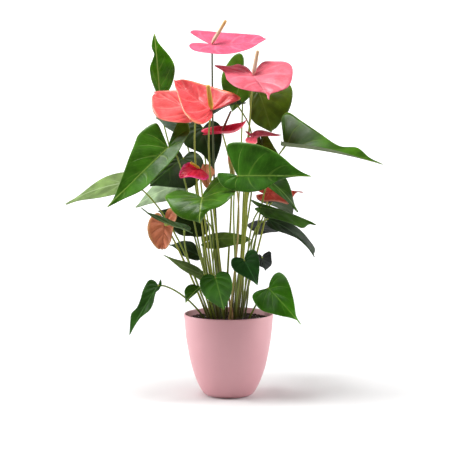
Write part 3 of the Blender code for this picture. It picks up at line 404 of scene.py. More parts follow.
LEAVES = {
    "upright": dict(
        joint=(-140, 70, 599), tip=(-150, 55, 728), face=(0.1, -1, 0.1),
        left=[(-1, 4), (3, 5), (8, 7), (16, 9), (25, 12),
              (40, 16), (62, 17), (77, 10), (89, 5), (105, 9)],
        right=[(-2, 2), (1, 9), (10, 17), (18, 23), (30, 29),
               (46, 34), (62, 35), (79, 29), (95, 18), (112, 6)],
        fold=(20, 12), arch=8, curl=0, wave=1.5,
    ),
    "great_left": dict(
        joint=(-118, -70, 502), tip=(-235, -110, 388), face=(0, -1, 0.15),
        left=[(-12, -9), (-34, -22), (-54, -29), (-65, -14), (-54, 8),
              (-30, 18), (7, 31), (48, 34), (98, 34), (137, 15)],
        right=[(-5, 12), (-11, 27), (-18, 49), (-1, 57), (25, 58),
               (46, 49), (71, 38), (96, 26), (129, 11), (149, 3)],
        fold=(38, 6), arch=8, curl=2, wave=2,
    ),
    "far_left": dict(
        joint=(-195, 30, 429), tip=(-334, 60, 382), face=(0, -0.55, 0.8),
        left=(36, 20), right=(36, 20), belly=0.16, full=0,
        fold=(10, 10), arch=9, curl=4, wave=2,
    ),
    "low_left_back": dict(
        joint=(-107, 60, 419), tip=(-193, 90, 373), face=(0, -0.75, 0.7),
        left=(34, 26), right=(34, 26), belly=0.14, full=0,
        fold=(15, 15), arch=7, curl=4, wave=2,
    ),
    "edge_left": dict(
        joint=(-88, -55, 341), tip=(-170, -85, 386), face=(0.3, -0.3, 0.9),
        left=(26, 16), right=(26, 16), belly=0.14, full=0,
        fold=(30, 8), arch=-6, curl=2, wave=2,
    ),
    "front_centre": dict(
        joint=(-51, -112, 406), tip=(-56, -152, 364), face=(-0.12, -0.62, 0.78),
        left=[(-23, -1), (-43, 5), (-64, 16), (-68, 33), (-44, 56),
              (-5, 73), (22, 63), (35, 43), (35, 21), (43, 10)],
        right=[(-14, 13), (-21, 30), (-25, 52), (-9, 69), (7, 72),
               (24, 63), (39, 53), (50, 37), (54, 21), (55, 9)],
        fold=(22, 12), arch=6, curl=6, wave=2,
    ),
    "great_centre": dict(
        joint=(17, -130, 450), tip=(159, -130, 449), face=(0, -1, 0.12),
        left=[(-4, 7), (-9, 18), (-16, 35), (-22, 53), (-15, 63),
              (10, 64), (46, 57), (79, 41), (106, 19), (123, 8)],
        right=[(-9, -3), (-22, -6), (-38, -5), (-36, 11), (-24, 25),
               (-5, 32), (25, 35), (52, 28), (79, 9), (113, 1)],
        fold=(4, 24), arch=8, curl=3, wave=2, arrive=(0.2, -0.75, 0.6),
    ),
    "great_right": dict(
        joint=(113, 0, 502), tip=(307, -20, 466), face=(0.1, -0.75, 0.65),
        left=[(-7, 16), (-13, 37), (-19, 59), (-18, 78), (-7, 84),
              (22, 63), (63, 39), (105, 20), (141, 25), (168, 8)],
        right=(17, 10), belly=0.05, full=-0.6,
        fold=(6, 96), arch=8, curl=0, wave=3,
    ),
    "high_back": dict(
        joint=(30, 118, 645), tip=(7, 125, 568), face=(0, -0.9, 0.4),
        left=(36, 8), right=(42, 40), belly=0.14, full=0.2,
        fold=(10, 10), arch=6, curl=4, wave=2, arrive=(0, -0.4, 0.9),
    ),
    "olive_back": dict(
        joint=(60, 78, 614), tip=(88, 62, 528), face=(0.1, -0.97, 0.3),
        left=[(-10, 13), (-13, 31), (-8, 51), (4, 64), (20, 67),
              (38, 61), (56, 50), (70, 36), (78, 24), (86, 12)],
        right=[(-10, 2), (-12, 9), (-8, 15), (-1, 20), (12, 24),
               (24, 28), (39, 32), (52, 36), (67, 29), (79, 15)],
        fold=(8, 14), arch=6, curl=3, wave=2, arrive=(0.3, -0.35, 0.9),
    ),
    "lit_edge": dict(
        joint=(15, 45, 587), tip=(-59, 20, 554), face=(0.15, -0.2, 0.95),
        left=(34, 16), right=(36, 16), belly=0.14, full=0,
        fold=(25, 5), arch=6, curl=4, wave=2,
    ),
    "dark_centre": dict(
        joint=(-52, 60, 537), tip=(-31, 50, 455), face=(0, -1, 0.1),
        left=[(-6, 8), (-10, 20), (-4, 31), (8, 37), (22, 35),
              (38, 30), (51, 23), (62, 16), (72, 9), (79, 4)],
        right=[(-9, 4), (-16, 13), (-16, 26), (-7, 38), (9, 45),
               (26, 45), (39, 31), (50, 17), (64, 9), (76, 5)],
        fold=(12, 12), arch=6, curl=3, wave=1,
    ),
    "dark_mid": dict(
        joint=(-92, 42, 476), tip=(-160, 30, 420), face=(0.1, -0.9, 0.4),
        left=[(-6, -2), (-20, -3), (-29, 9), (-28, 30), (-14, 48),
              (5, 60), (30, 62), (48, 45), (65, 25), (77, 10)],
        right=[(-3, 10), (-3, 21), (3, 28), (17, 31), (30, 28),
               (43, 25), (57, 21), (69, 16), (79, 11), (84, 5)],
        fold=(14, 10), arch=6, curl=3, wave=1,
    ),
    "grey_green": dict(
        joint=(-95, 75, 536), tip=(-149, 95, 558), face=(-0.1, -0.5, 0.85),
        left=(28, 20), right=(28, 20), belly=0.16, full=0,
        fold=(14, 14), arch=6, curl=4, wave=2,
    ),
    "right_lobe": dict(
        joint=(66, -34, 503), tip=(113, -46, 453), face=(0.2, -0.9, 0.4),
        left=[(-8, 6), (-15, 12), (-21, 18), (-21, 25), (-7, 24),
              (14, 18), (30, 14), (42, 10), (53, 7), (62, 4)],
        right=[(-9, -6), (-16, -11), (-24, -16), (-32, -14), (-30, -1),
               (-7, 22), (9, 24), (25, 21), (42, 15), (56, 8)],
        fold=(10, 10), arch=4, curl=2, wave=1,
    ),
    "dark_low": dict(
        joint=(-52, 48, 354), tip=(-147, 70, 367), face=(0, -1, 0.2),
        left=[(-6, 5), (-13, 15), (-14, 29), (-1, 40), (16, 42),
              (34, 44), (53, 37), (69, 24), (83, 11), (91, 3)],
        right=[(-1, 7), (-1, 15), (6, 20), (18, 19), (30, 17),
               (45, 16), (59, 13), (71, 10), (82, 6), (90, 3)],
        fold=(10, 10), arch=5, curl=3, wave=1,
    ),
    "right_under": dict(
        joint=(65, -50, 445), tip=(136, -80, 377), face=(0.4, -0.6, 0.6),
        left=(34, 22), right=(30, 22), belly=0.14, full=0,
        fold=(30, 30), arch=8, curl=4, wave=2,
    ),
    "right_low": dict(
        joint=(64, -25, 381), tip=(173, -50, 349), face=(0.1, -0.62, 0.78),
        left=[(-10, 5), (-18, 9), (-25, 14), (-25, 20), (-13, 17),
              (3, 11), (25, 6), (48, 5), (77, 1), (98, 1)],
        right=[(-6, 0), (-11, 1), (-10, 8), (-2, 18), (6, 24),
               (18, 31), (41, 33), (71, 36), (96, 36), (103, 9)],
        fold=(10, 16), arch=8, curl=2, wave=2,
    ),
    "right_dark": dict(
        joint=(79, 8, 355), tip=(175, 30, 276), face=(0.3, -0.7, 0.64),
        left=[(-6, 2), (-10, 3), (-11, 4), (-6, 6), (3, 10),
              (15, 13), (34, 18), (63, 18), (94, 16), (118, 15)],
        right=[(0, 4), (0, 11), (4, 16), (10, 18), (17, 21),
               (27, 20), (43, 14), (69, 4), (99, 1), (107, 1)],
        fold=(10, 10), arch=16, curl=2, wave=1,
    ),
    "back_grey": dict(
        joint=(61, 102, 327), tip=(117, 155, 320), face=(0.2, -0.2, 0.95),
        left=(34, 12), right=(34, 12), belly=0.14, full=0,
        fold=(10, 10), arch=8, curl=4, wave=3,
    ),
    "back_mid": dict(
        joint=(90, 105, 383), tip=(136, 160, 343), face=(0.3, 0.4, 0.85),
        left=(38, 22), right=(38, 22), belly=0.14, full=0,
        fold=(12, 12), arch=8, curl=4, wave=3,
    ),
    "olive_low": dict(
        joint=(-25, 20, 314), tip=(46, 34, 312), face=(0, -0.85, 0.5),
        left=[(-7, -2), (-17, -3), (-28, -4), (-26, 5), (-13, 11),
              (4, 14), (19, 14), (37, 12), (55, 9), (66, 5)],
        right=[(-11, 3), (-20, 6), (-31, 10), (-28, 16), (-16, 21),
               (0, 22), (18, 20), (37, 15), (54, 12), (65, 5)],
        fold=(6, 8), arch=4, curl=2, wave=1, arrive=(0.3, -0.3, 0.9),
    ),
    "dark_left": dict(
        joint=(-56, 88, 270), tip=(-123, 108, 294), face=(-0.2, -0.6, 0.77),
        left=[(0, 1), (-1, 5), (1, 8), (4, 12), (9, 16),
              (16, 18), (26, 18), (37, 16), (52, 7), (66, 1)],
        right=[(1, 5), (3, 9), (8, 12), (15, 16), (22, 21),
               (32, 25), (44, 22), (54, 18), (62, 11), (68, 5)],
        fold=(10, 10), arch=4, curl=3, wave=1,
    ),
    "pale_left": dict(
        joint=(-50, -62, 251), tip=(-128, -80, 293), face=(0.1, -0.75, 0.65),
        left=[(-1, 4), (-2, 10), (0, 15), (3, 16), (10, 13),
              (19, 12), (32, 12), (47, 9), (62, 4), (76, 1)],
        right=[(1, 3), (2, 8), (6, 9), (12, 11), (19, 12),
               (28, 13), (40, 13), (53, 9), (67, 5), (79, 3)],
        fold=(12, 10), arch=-4, curl=1, wave=1,
    ),
    "withered": dict(
        joint=(-47, -22, 465), tip=(-43, -28, 419), face=(-0.1, -0.95, 0.25),
        left=[(-2, 3), (0, 9), (3, 13), (8, 17), (13, 20),
              (19, 20), (24, 15), (31, 11), (38, 6), (44, 4)],
        right=[(-3, 3), (-1, 5), (3, 7), (7, 8), (12, 9),
               (18, 10), (23, 11), (30, 10), (37, 7), (44, 3)],
        fold=(20, 20), arch=3, curl=0, wave=2,
    ),
    "front_heart": dict(
        joint=(-26, -97, 250), tip=(-9, -84, 184), face=(0, -1, 0.1),
        left=(30, 8), right=(34, 10), belly=0.2, full=0.3,
        fold=(10, 10), arch=4, curl=2, wave=1,
    ),
    "curled_small": dict(
        joint=(-57, -52, 225), tip=(-85, -70, 197), face=(-0.2, -0.8, 0.55),
        left=(8, 5), belly=0.14, full=0.2,
        right=[(-1, 4), (-1, 6), (1, 10), (2, 14), (5, 18),
               (11, 20), (19, 20), (26, 18), (32, 12), (38, 6)],
        fold=(50, 12), arch=3, curl=2, wave=1,
    ),
    "hanging_left": dict(
        joint=(-139, -60, 229), tip=(-195, -85, 135), face=(-0.3, -0.9, 0.3),
        left=[(-6, -2), (-14, -5), (-7, 3), (6, 7), (14, 5),
              (23, 8), (35, 14), (52, 16), (72, 5), (92, 1)],
        right=[(-3, 6), (-5, 12), (-4, 19), (2, 24), (13, 24),
               (26, 21), (40, 16), (58, 14), (74, 18), (91, 11)],
        fold=(30, 25), arch=5, curl=2, wave=2,
    ),
    "heart_blue": dict(
        joint=(31, -96, 283), tip=(56, -108, 236), face=(0, -1, 0.2),
        left=[(-7, 4), (-13, 11), (-14, 19), (-10, 27), (1, 29),
              (16, 24), (30, 17), (40, 10), (48, 5), (52, 2)],
        right=[(-6, 2), (-11, 7), (-15, 15), (-13, 23), (-3, 28),
               (9, 27), (22, 20), (34, 12), (44, 5), (51, 2)],
        fold=(6, 8), arch=4, curl=2, wave=1,
    ),
    "back_small": dict(
        joint=(70, 92, 268), tip=(77, 97, 240), face=(0.2, -0.93, 0.3),
        left=[(-5, 5), (-7, 11), (-8, 18), (-4, 22), (2, 20),
              (8, 18), (16, 17), (22, 14), (25, 9), (27, 4)],
        right=[(-6, 1), (-8, 5), (-5, 10), (0, 13), (6, 14),
               (12, 12), (17, 9), (20, 5), (24, 2), (27, 1)],
        fold=(8, 8), arch=3, curl=2, wave=1,
    ),
    "bright_right": dict(
        joint=(79, -60, 224), tip=(141, -100, 158), face=(0, -1, 0.25),
        left=[(-6, 6), (-12, 15), (-16, 28), (-11, 38), (6, 40),
              (29, 33), (51, 22), (66, 13), (78, 5), (88, 2)],
        right=[(-4, 5), (-9, 16), (-11, 28), (-6, 38), (11, 43),
               (29, 42), (46, 32), (62, 20), (75, 8), (86, 1)],
        fold=(6, 16), arch=6, curl=3, wave=2,
    ),
}

# blooms, in the same way, with the top of the spadix where there is one
BLOOMS = {
    "top": dict(
        joint=(-33, -10, 703), tip=(75, -10, 715), spadix=(-5, -10, 751), face=(0, -0.4, 0.91),
        left=[(-10, 12), (-24, 30), (-37, 49), (-41, 60), (-32, 71),
              (-9, 67), (20, 59), (50, 51), (78, 39), (95, 27)],
        right=[(-10, -6), (-23, -12), (-40, -12), (-45, 6), (-36, 33),
               (-13, 45), (18, 48), (49, 42), (75, 32), (92, 14)],
        fold=(4, 2), arch=-5, curl=1, wave=1,
    ),
    "right": dict(
        joint=(48, -40, 642), tip=(77, -105, 596), spadix=(57, -42, 691), face=(0.05, -0.55, 0.83),
        left=[(-16, 11), (-32, 24), (-42, 40), (-34, 58), (-21, 76),
              (4, 80), (40, 67), (65, 49), (70, 27), (71, 9)],
        right=[(-21, -3), (-44, -2), (-57, 10), (-47, 33), (-52, 63),
               (-24, 53), (13, 60), (43, 53), (57, 29), (64, 2)],
        fold=(9, 9), arch=4, curl=2, wave=1,
    ),
    "coral": dict(
        joint=(-34, -85, 575), tip=(-107, -62, 633), spadix=(-40, -102, 623), face=(0.15, -0.72, 0.68),
        left=[(-7, 5), (-14, 18), (-16, 34), (-14, 51), (-4, 59),
              (12, 60), (33, 52), (54, 35), (71, 20), (85, 9)],
        right=[(-4, 7), (-14, 23), (-23, 42), (-28, 55), (-13, 56),
               (5, 51), (28, 44), (51, 34), (71, 24), (86, 14)],
        fold=(14, 22), arch=-4, curl=1, wave=1,
    ),
    "salmon": dict(
        joint=(-64, -32, 570), tip=(-148, -22, 611), spadix=(-82, -45, 608), face=(0.1, -0.72, 0.68),
        left=[(-5, 9), (-8, 20), (-4, 32), (8, 45), (24, 55),
              (40, 62), (57, 64), (73, 53), (84, 34), (91, 15)],
        right=[(-4, 11), (-9, 27), (-6, 41), (9, 48), (27, 44),
               (43, 35), (59, 26), (71, 19), (81, 12), (89, 5)],
        fold=(12, 12), arch=-3, curl=1, wave=1,
    ),
    "crimson": dict(
        joint=(-57, -58, 459), tip=(-96, -78, 444), spadix=(-75, -66, 473), face=(-0.3, -0.7, 0.65),
        left=[(-4, 3), (-4, 17), (1, 37), (14, 47), (20, 38),
              (24, 30), (29, 20), (34, 12), (40, 7), (45, 3)],
        right=[(-1, 8), (0, 14), (2, 20), (7, 23), (15, 23),
               (23, 22), (29, 19), (36, 14), (41, 9), (44, 5)],
        fold=(12, 16), arch=3, curl=1, wave=1,
    ),
    "canoe": dict(
        joint=(-13, 38, 527), tip=(37, 33, 557), spadix=(5, 40, 572), face=(0, -0.3, 0.95),
        left=(24, 34), right=(21, 34), belly=0.2, full=0.5,
        fold=(46, 46), arch=-12, curl=0, wave=1,
    ),
    "rolled": dict(
        joint=(45, -64, 522), tip=(103, -66, 526), spadix=None, face=(0, -0.8, 0.6),
        left=[(-3, 3), (-9, 10), (-12, 14), (-7, 13), (-1, 9),
              (7, 13), (17, 13), (28, 10), (40, 6), (49, 3)],
        right=[(-8, 0), (-11, 1), (-13, 13), (-6, 32), (4, 40),
               (10, 31), (11, 5), (20, 1), (34, 3), (47, 4)],
        fold=(35, 35), arch=2, curl=0, wave=1,
    ),
    "fading_right": dict(
        joint=(80, 58, 402), tip=(152, 52, 407), spadix=None, face=(0.1, -0.8, 0.6),
        left=[(-9, 4), (-19, 10), (-24, 14), (-22, 21), (-7, 25),
              (11, 22), (28, 15), (41, 11), (50, 5), (58, 3)],
        right=[(-6, -2), (-16, -4), (-24, -2), (-21, 10), (-8, 17),
               (8, 17), (25, 23), (41, 31), (49, 18), (58, 1)],
        fold=(10, 8), arch=3, curl=2, wave=2, arrive=(0, -0.6, 0.8),
    ),
    "fading_left": dict(
        joint=(-127, -20, 346), tip=(-132, -30, 297), spadix=(-115, -42, 351), face=(-0.2, -0.95, 0.2),
        left=[(-12, 0), (-26, 0), (-34, 7), (-29, 21), (-18, 25),
              (-3, 21), (16, 19), (32, 18), (43, 13), (49, 7)],
        right=[(-8, 3), (-17, 7), (-23, 16), (-17, 26), (-6, 32),
               (10, 33), (27, 28), (39, 20), (47, 12), (50, 6)],
        fold=(8, 8), arch=2, curl=-4, wave=1,
    ),
}


def unit(vector):
    return vector / np.linalg.norm(vector)


def blade_frame(shape):
    """Joint, direction to the tip, direction to the left half and upper face of a blade, and its length."""
    joint = np.array(shape["joint"], float)
    reach = np.array(shape["tip"], float) - joint
    along = unit(reach)
    face = np.array(shape["face"], float)
    face = unit(face - along * face.dot(along))
    return joint, along, np.cross(face, along), face, float(np.linalg.norm(reach))


def half_outline(shape, side, length):
    """Margin points of half a blade from the sinus round the lobe to the tip, along the blade and then
    across it, each with the place on the midrib where its side vein starts. The tables either give the
    points themselves or the width and the lobe of half a plain heart."""
    half = shape["left" if side > 0 else "right"]
    feet = [share * length for share in VEIN_FEET]
    if isinstance(half, list):
        return [(along_mm, across_mm, foot) for (along_mm, across_mm), foot in zip(half, feet)]
    width, lobe = half
    belly = shape["belly"]
    shift = (belly - 0.14) * length
    margin = [
        (-0.42 * lobe, 0.10 * width),
        (-0.86 * lobe, 0.26 * width),
        (-1.00 * lobe, 0.50 * width),
        (-0.76 * lobe + 0.1 * shift, 0.76 * width),
        (-0.20 * lobe + 0.4 * shift, 0.95 * width),
    ]
    for step, share in [(0.0, 1.0), (0.25, 0.88), (0.50, 0.62), (0.72, 0.33), (0.90, 0.11)]:
        share += shape["full"] * 0.9 * share * (1.0 - share)
        margin.append(((belly + (1.0 - belly) * step) * length, share * width))
    return [(along_mm, across_mm, foot) for (along_mm, across_mm), foot in zip(margin, feet)]


def blade_point(shape, frame, side, along_mm, across_mm, turn, reach):
    """A point of the bent blade. side is 1 for the left half and -1 for the right one, turn runs
    round the margin from 0 at the sinus to 1 at the tip, and reach from the midrib to the margin."""
    joint, along, left, face, length = frame
    fold = math.radians(shape["fold"][0 if side > 0 else 1])
    run = along_mm / length
    rise = math.sin(fold) * (np.hypot(np.maximum(0.0, across_mm), FOLD_EASE) - FOLD_EASE)
    rise += shape["arch"] * np.where(run > 0.0, 4.0 * run * (1.0 - run), 2.5 * run)
    rise -= shape["curl"] * reach * reach
    waves = np.sin(2.0 * math.pi * (2.5 * turn) + side * 1.3 + length)
    rise += shape["wave"] * waves * reach * reach * np.sin(math.pi * turn)
    return (joint + np.multiply.outer(along_mm, along)
            + np.multiply.outer(side * across_mm * math.cos(fold), left) + np.multiply.outer(rise, face))


def plain_sheet(shape):
    """The blade as a few flat pieces, which the stalks keep clear of."""
    frame = blade_frame(shape)
    length = frame[4]
    points = [blade_point(shape, frame, 1, 0.0, 0.0, 0.0, 0.0)]
    feet = {0.0: 0}
    triangles = []
    tip = None
    for side in (1, -1):
        rows = half_outline(shape, side, length)
        lines = []
        for place, (margin_along, margin_across, foot) in enumerate(rows):
            turn = (place + 1) / (len(rows) + 1)
            if foot not in feet:
                feet[foot] = len(points)
                points.append(blade_point(shape, frame, 1, foot, 0.0, turn, 0.0))
            line = [feet[foot]]
            for step in (1, 2):
                reach = step / 2
                line.append(len(points))
                points.append(blade_point(shape, frame, side, foot + (margin_along - foot) * reach,
                                          margin_across * reach, turn, reach))
            lines.append(line)
        if tip is None:
            tip = len(points)
            points.append(blade_point(shape, frame, 1, length, 0.0, 1.0, 0.0))
        lines.append([tip] * 3)
        for inner, outer in zip(lines, lines[1:]):
            for step in (0, 1):
                corners = [inner[step], inner[step + 1], outer[step + 1], outer[step]]
                for triple in ((0, 1, 2), (0, 2, 3)):
                    triangle = [corners[c] for c in triple]
                    if len(set(triangle)) == 3:
                        triangles.append(triangle if side < 0 else triangle[::-1])
    return points, triangles


def rod(line, radii, sides):
    """A round stem along a line of points, with flat ends."""
    line = np.array(line, float)
    points = []
    faces = []
    way = np.gradient(line, axis=0)
    side = unit(np.cross(way[0], (0.3, 1.0, 0.1)))
    for ring, (centre, radius) in enumerate(zip(line, radii)):
        forward = unit(way[ring])
        side = unit(side - forward * side.dot(forward))
        other = np.cross(forward, side)
        for k in range(sides):
            angle = 2.0 * math.pi * k / sides
            points.append(centre + radius * (math.cos(angle) * side + math.sin(angle) * other))
        if ring:
            for k in range(sides):
                here = (ring - 1) * sides + k
                there = (ring - 1) * sides + (k + 1) % sides
                faces.append([here, there, there + sides, here + sides])
    faces.append(list(range(sides))[::-1])
    faces.append(list(range((len(line) - 1) * sides, len(line) * sides)))
    return points, faces


def first_stalk(kind, name, shape, chance):
    """Foot of a stalk in the soil, and the end and direction in which it reaches its blade. The foot
    stands on the side its blade hangs on, the further out the more the stalk leans."""
    joint, along, _, face, _ = blade_frame(shape)
    if kind == "leaf":
        arrive = along * 0.45 + face * 0.9
        radii = LEAF_STALK
    else:
        arrive = along * 0.1 + face + np.array((0.0, 0.0, 0.3))
        radii = BLOOM_STALK
    arrive = unit(np.array(shape.get("arrive", arrive), float))
    if kind == "leaf":
        end = joint + face * LEAF_SEAT
    else:
        tilt = math.sqrt(1.0 - arrive.dot(face) ** 2)
        end = joint - face * (RIB_THICKNESS - BLADE_THICKNESS / 2.0 + PART_GAP + 1.8 * tilt * radii[1])
    away = math.hypot(joint[0], joint[1])
    lean = away / (joint[2] - SOIL_TOP)
    spread = FOOT_SPREAD[0] + FOOT_SPREAD[1] * lean / (lean + 0.35)
    foot = np.array((joint[0] / away * spread, joint[1] / away * spread, SOIL_TOP - HOLE_DEPTH))
    foot[:2] += (chance.uniform(-FOOT_JITTER, FOOT_JITTER), chance.uniform(-FOOT_JITTER, FOOT_JITTER))
    return dict(name=name, kind=kind, foot=foot, end=end, arrive=arrive, radii=radii)


chance = random.Random(7)
stalks = [first_stalk("leaf", name, shape, chance) for name, shape in LEAVES.items()]
stalks += [first_stalk("bloom", name, shape, chance) for name, shape in BLOOMS.items()]
bud_joint = np.array(BUD["joint"], float)
stalks.append(dict(
    name="bud", kind="bud", foot=np.array((*BUD["foot"], SOIL_TOP - HOLE_DEPTH)), end=bud_joint,
    arrive=unit(np.array(BUD["top"], float) - bud_joint), radii=LEAF_STALK,
))

# feet move apart in the soil, and away from the dry sheath
feet = np.array([s["foot"] for s in stalks])
for _ in range(FOOT_TURNS):
    apart = feet[:, None, :2] - feet[None, :, :2]
    distance = np.linalg.norm(apart, axis=2) + np.eye(len(feet)) * 1000.0
    near = np.clip(FOOT_SPACING - distance, 0.0, None)
    feet[:, :2] += (apart / distance[:, :, None] * near[:, :, None]).sum(axis=1) * FOOT_PUSH
    apart = feet[:, :2] - np.array(SHEATH_LINE[0][:2])
    distance = np.linalg.norm(apart, axis=1)
    near = np.clip(SHEATH_ROOM - distance, 0.0, None)
    feet[:, :2] += apart / distance[:, None] * near[:, None] * SHEATH_PUSH

# each stalk first sweeps up out of the soil, leaning outwards, and round into its blade
lines = []
steps = np.linspace(0.0, 1.0, STALK_POINTS)[:, None]
rest = 1.0 - steps
for stalk, foot in zip(stalks, feet):
    end = stalk["end"]
    stretch = np.linalg.norm(end - foot)
    lean = unit(np.array((foot[0] * 0.6, foot[1] * 0.6, 60.0)))
    low_handle = foot + lean * stretch * 0.4
    high_handle = end - stalk["arrive"] * stretch * 0.28
    lines.append(rest ** 3 * foot + 3.0 * rest ** 2 * steps * low_handle
                 + 3.0 * rest * steps ** 2 * high_handle + steps ** 3 * end)
lines = np.array(lines)

# then the stalks are bent clear of each other, the blades and the sheath, little by little
samples_each = (STALK_POINTS - 1) * STALK_SAMPLES + 1
weights = np.zeros((samples_each, STALK_POINTS))
for row in range(samples_each):
    low = min(row // STALK_SAMPLES, STALK_POINTS - 2)
    share = row / STALK_SAMPLES - low
    weights[row, low] = 1.0 - share
    weights[row, low + 1] = share
radii = np.array([np.interp(np.linspace(0, 1, samples_each), (0, 1), s["radii"]) for s in stalks])
size = radii.reshape(-1)
wanted = size[:, None] + size[None] + STALK_CLEARANCE
owner = np.repeat(np.arange(len(stalks)), samples_each)
same = owner[:, None] == owner[None]
sheath_points, sheath_faces = rod(SHEATH_LINE, SHEATH_RADII, 7)
corners = [Vector(p) for p in sheath_points]
triangles = []
for face in sheath_faces[:-2]:
    triangles += [face[:3], [face[0], face[2], face[3]]]
triangles += [face[:3] for face in sheath_faces[-2:]]
owners = [-1] * len(triangles)
for place, stalk in enumerate(stalks[:-1]):
    shape = (LEAVES if stalk["kind"] == "leaf" else BLOOMS)[stalk["name"]]
    sheet_points, sheet_triangles = plain_sheet(shape)
    triangles += [[c + len(corners) for c in t] for t in sheet_triangles]
    corners += [Vector(p) for p in sheet_points]
    owners += [place] * len(sheet_triangles)
obstacles = BVHTree.FromPolygons(corners, triangles)
# the foot and the end by the blade stay where they are, and the first bend gives a little
free = np.ones(STALK_POINTS)
free[[0, -1, -2]] = 0.0
free[1] = 0.6
for turn in range(RELAX_TURNS):
    dense = np.einsum("rk,skc->src", weights, lines)
    spots = dense.reshape(-1, 3)
    apart = spots[:, None] - spots[None]
    distance = np.sqrt((apart ** 2).sum(axis=2)) + 1e-9
    near = np.where(same, 0.0, np.clip(wanted - distance, 0.0, None))
    push = (apart / distance[..., None] * near[..., None]).sum(axis=1)
    push /= np.maximum((near > 0).sum(axis=1), 1)[:, None]
    push = push.reshape(dense.shape)
    if turn % 2 == 0:
        for place, samples in enumerate(dense):
            for row in range(3, len(samples) - 2):
                room = radii[place][row] + BLADE_CLEARANCE
                found = [hit for hit in obstacles.find_nearest_range(Vector(samples[row]), room)
                         if owners[hit[2]] != place]
                if found:
                    nearest = min(found, key=lambda hit: hit[3])
                    away = samples[row] - np.array(nearest[0])
                    push[place][row] += away / (np.linalg.norm(away) + 1e-9) * (room - nearest[3]) * BLADE_PUSH
    lines += np.einsum("rk,src->skc", weights, push) / STALK_SAMPLES * free[None, :, None] * STALK_PUSH
for stalk, line in zip(stalks, lines):
    stalk["line"] = line
stalk_of = {stalk["name"]: stalk for stalk in stalks if stalk["kind"] != "leaf"}
leaf_stalk_of = {stalk["name"]: stalk for stalk in stalks if stalk["kind"] == "leaf"}

# A leaf is a leathery heart on a thin round stalk with a swollen knee below the blade. A strong midrib and
# curved side veins lie sunk in the glossy upper side and stand out below, and the margin is a pale line.
SIDE_VEINS = 8
ROWS_PER_VEIN = 9
STEPS_OUT = 12
LEAF_QUILT = 0.9
LEAF_STALK_SIDES = 10
STALK_PIECES = 6
KNEE_SWELL = 0.6
MARGIN_PIECES = 12
TIP_TURN = 0.965


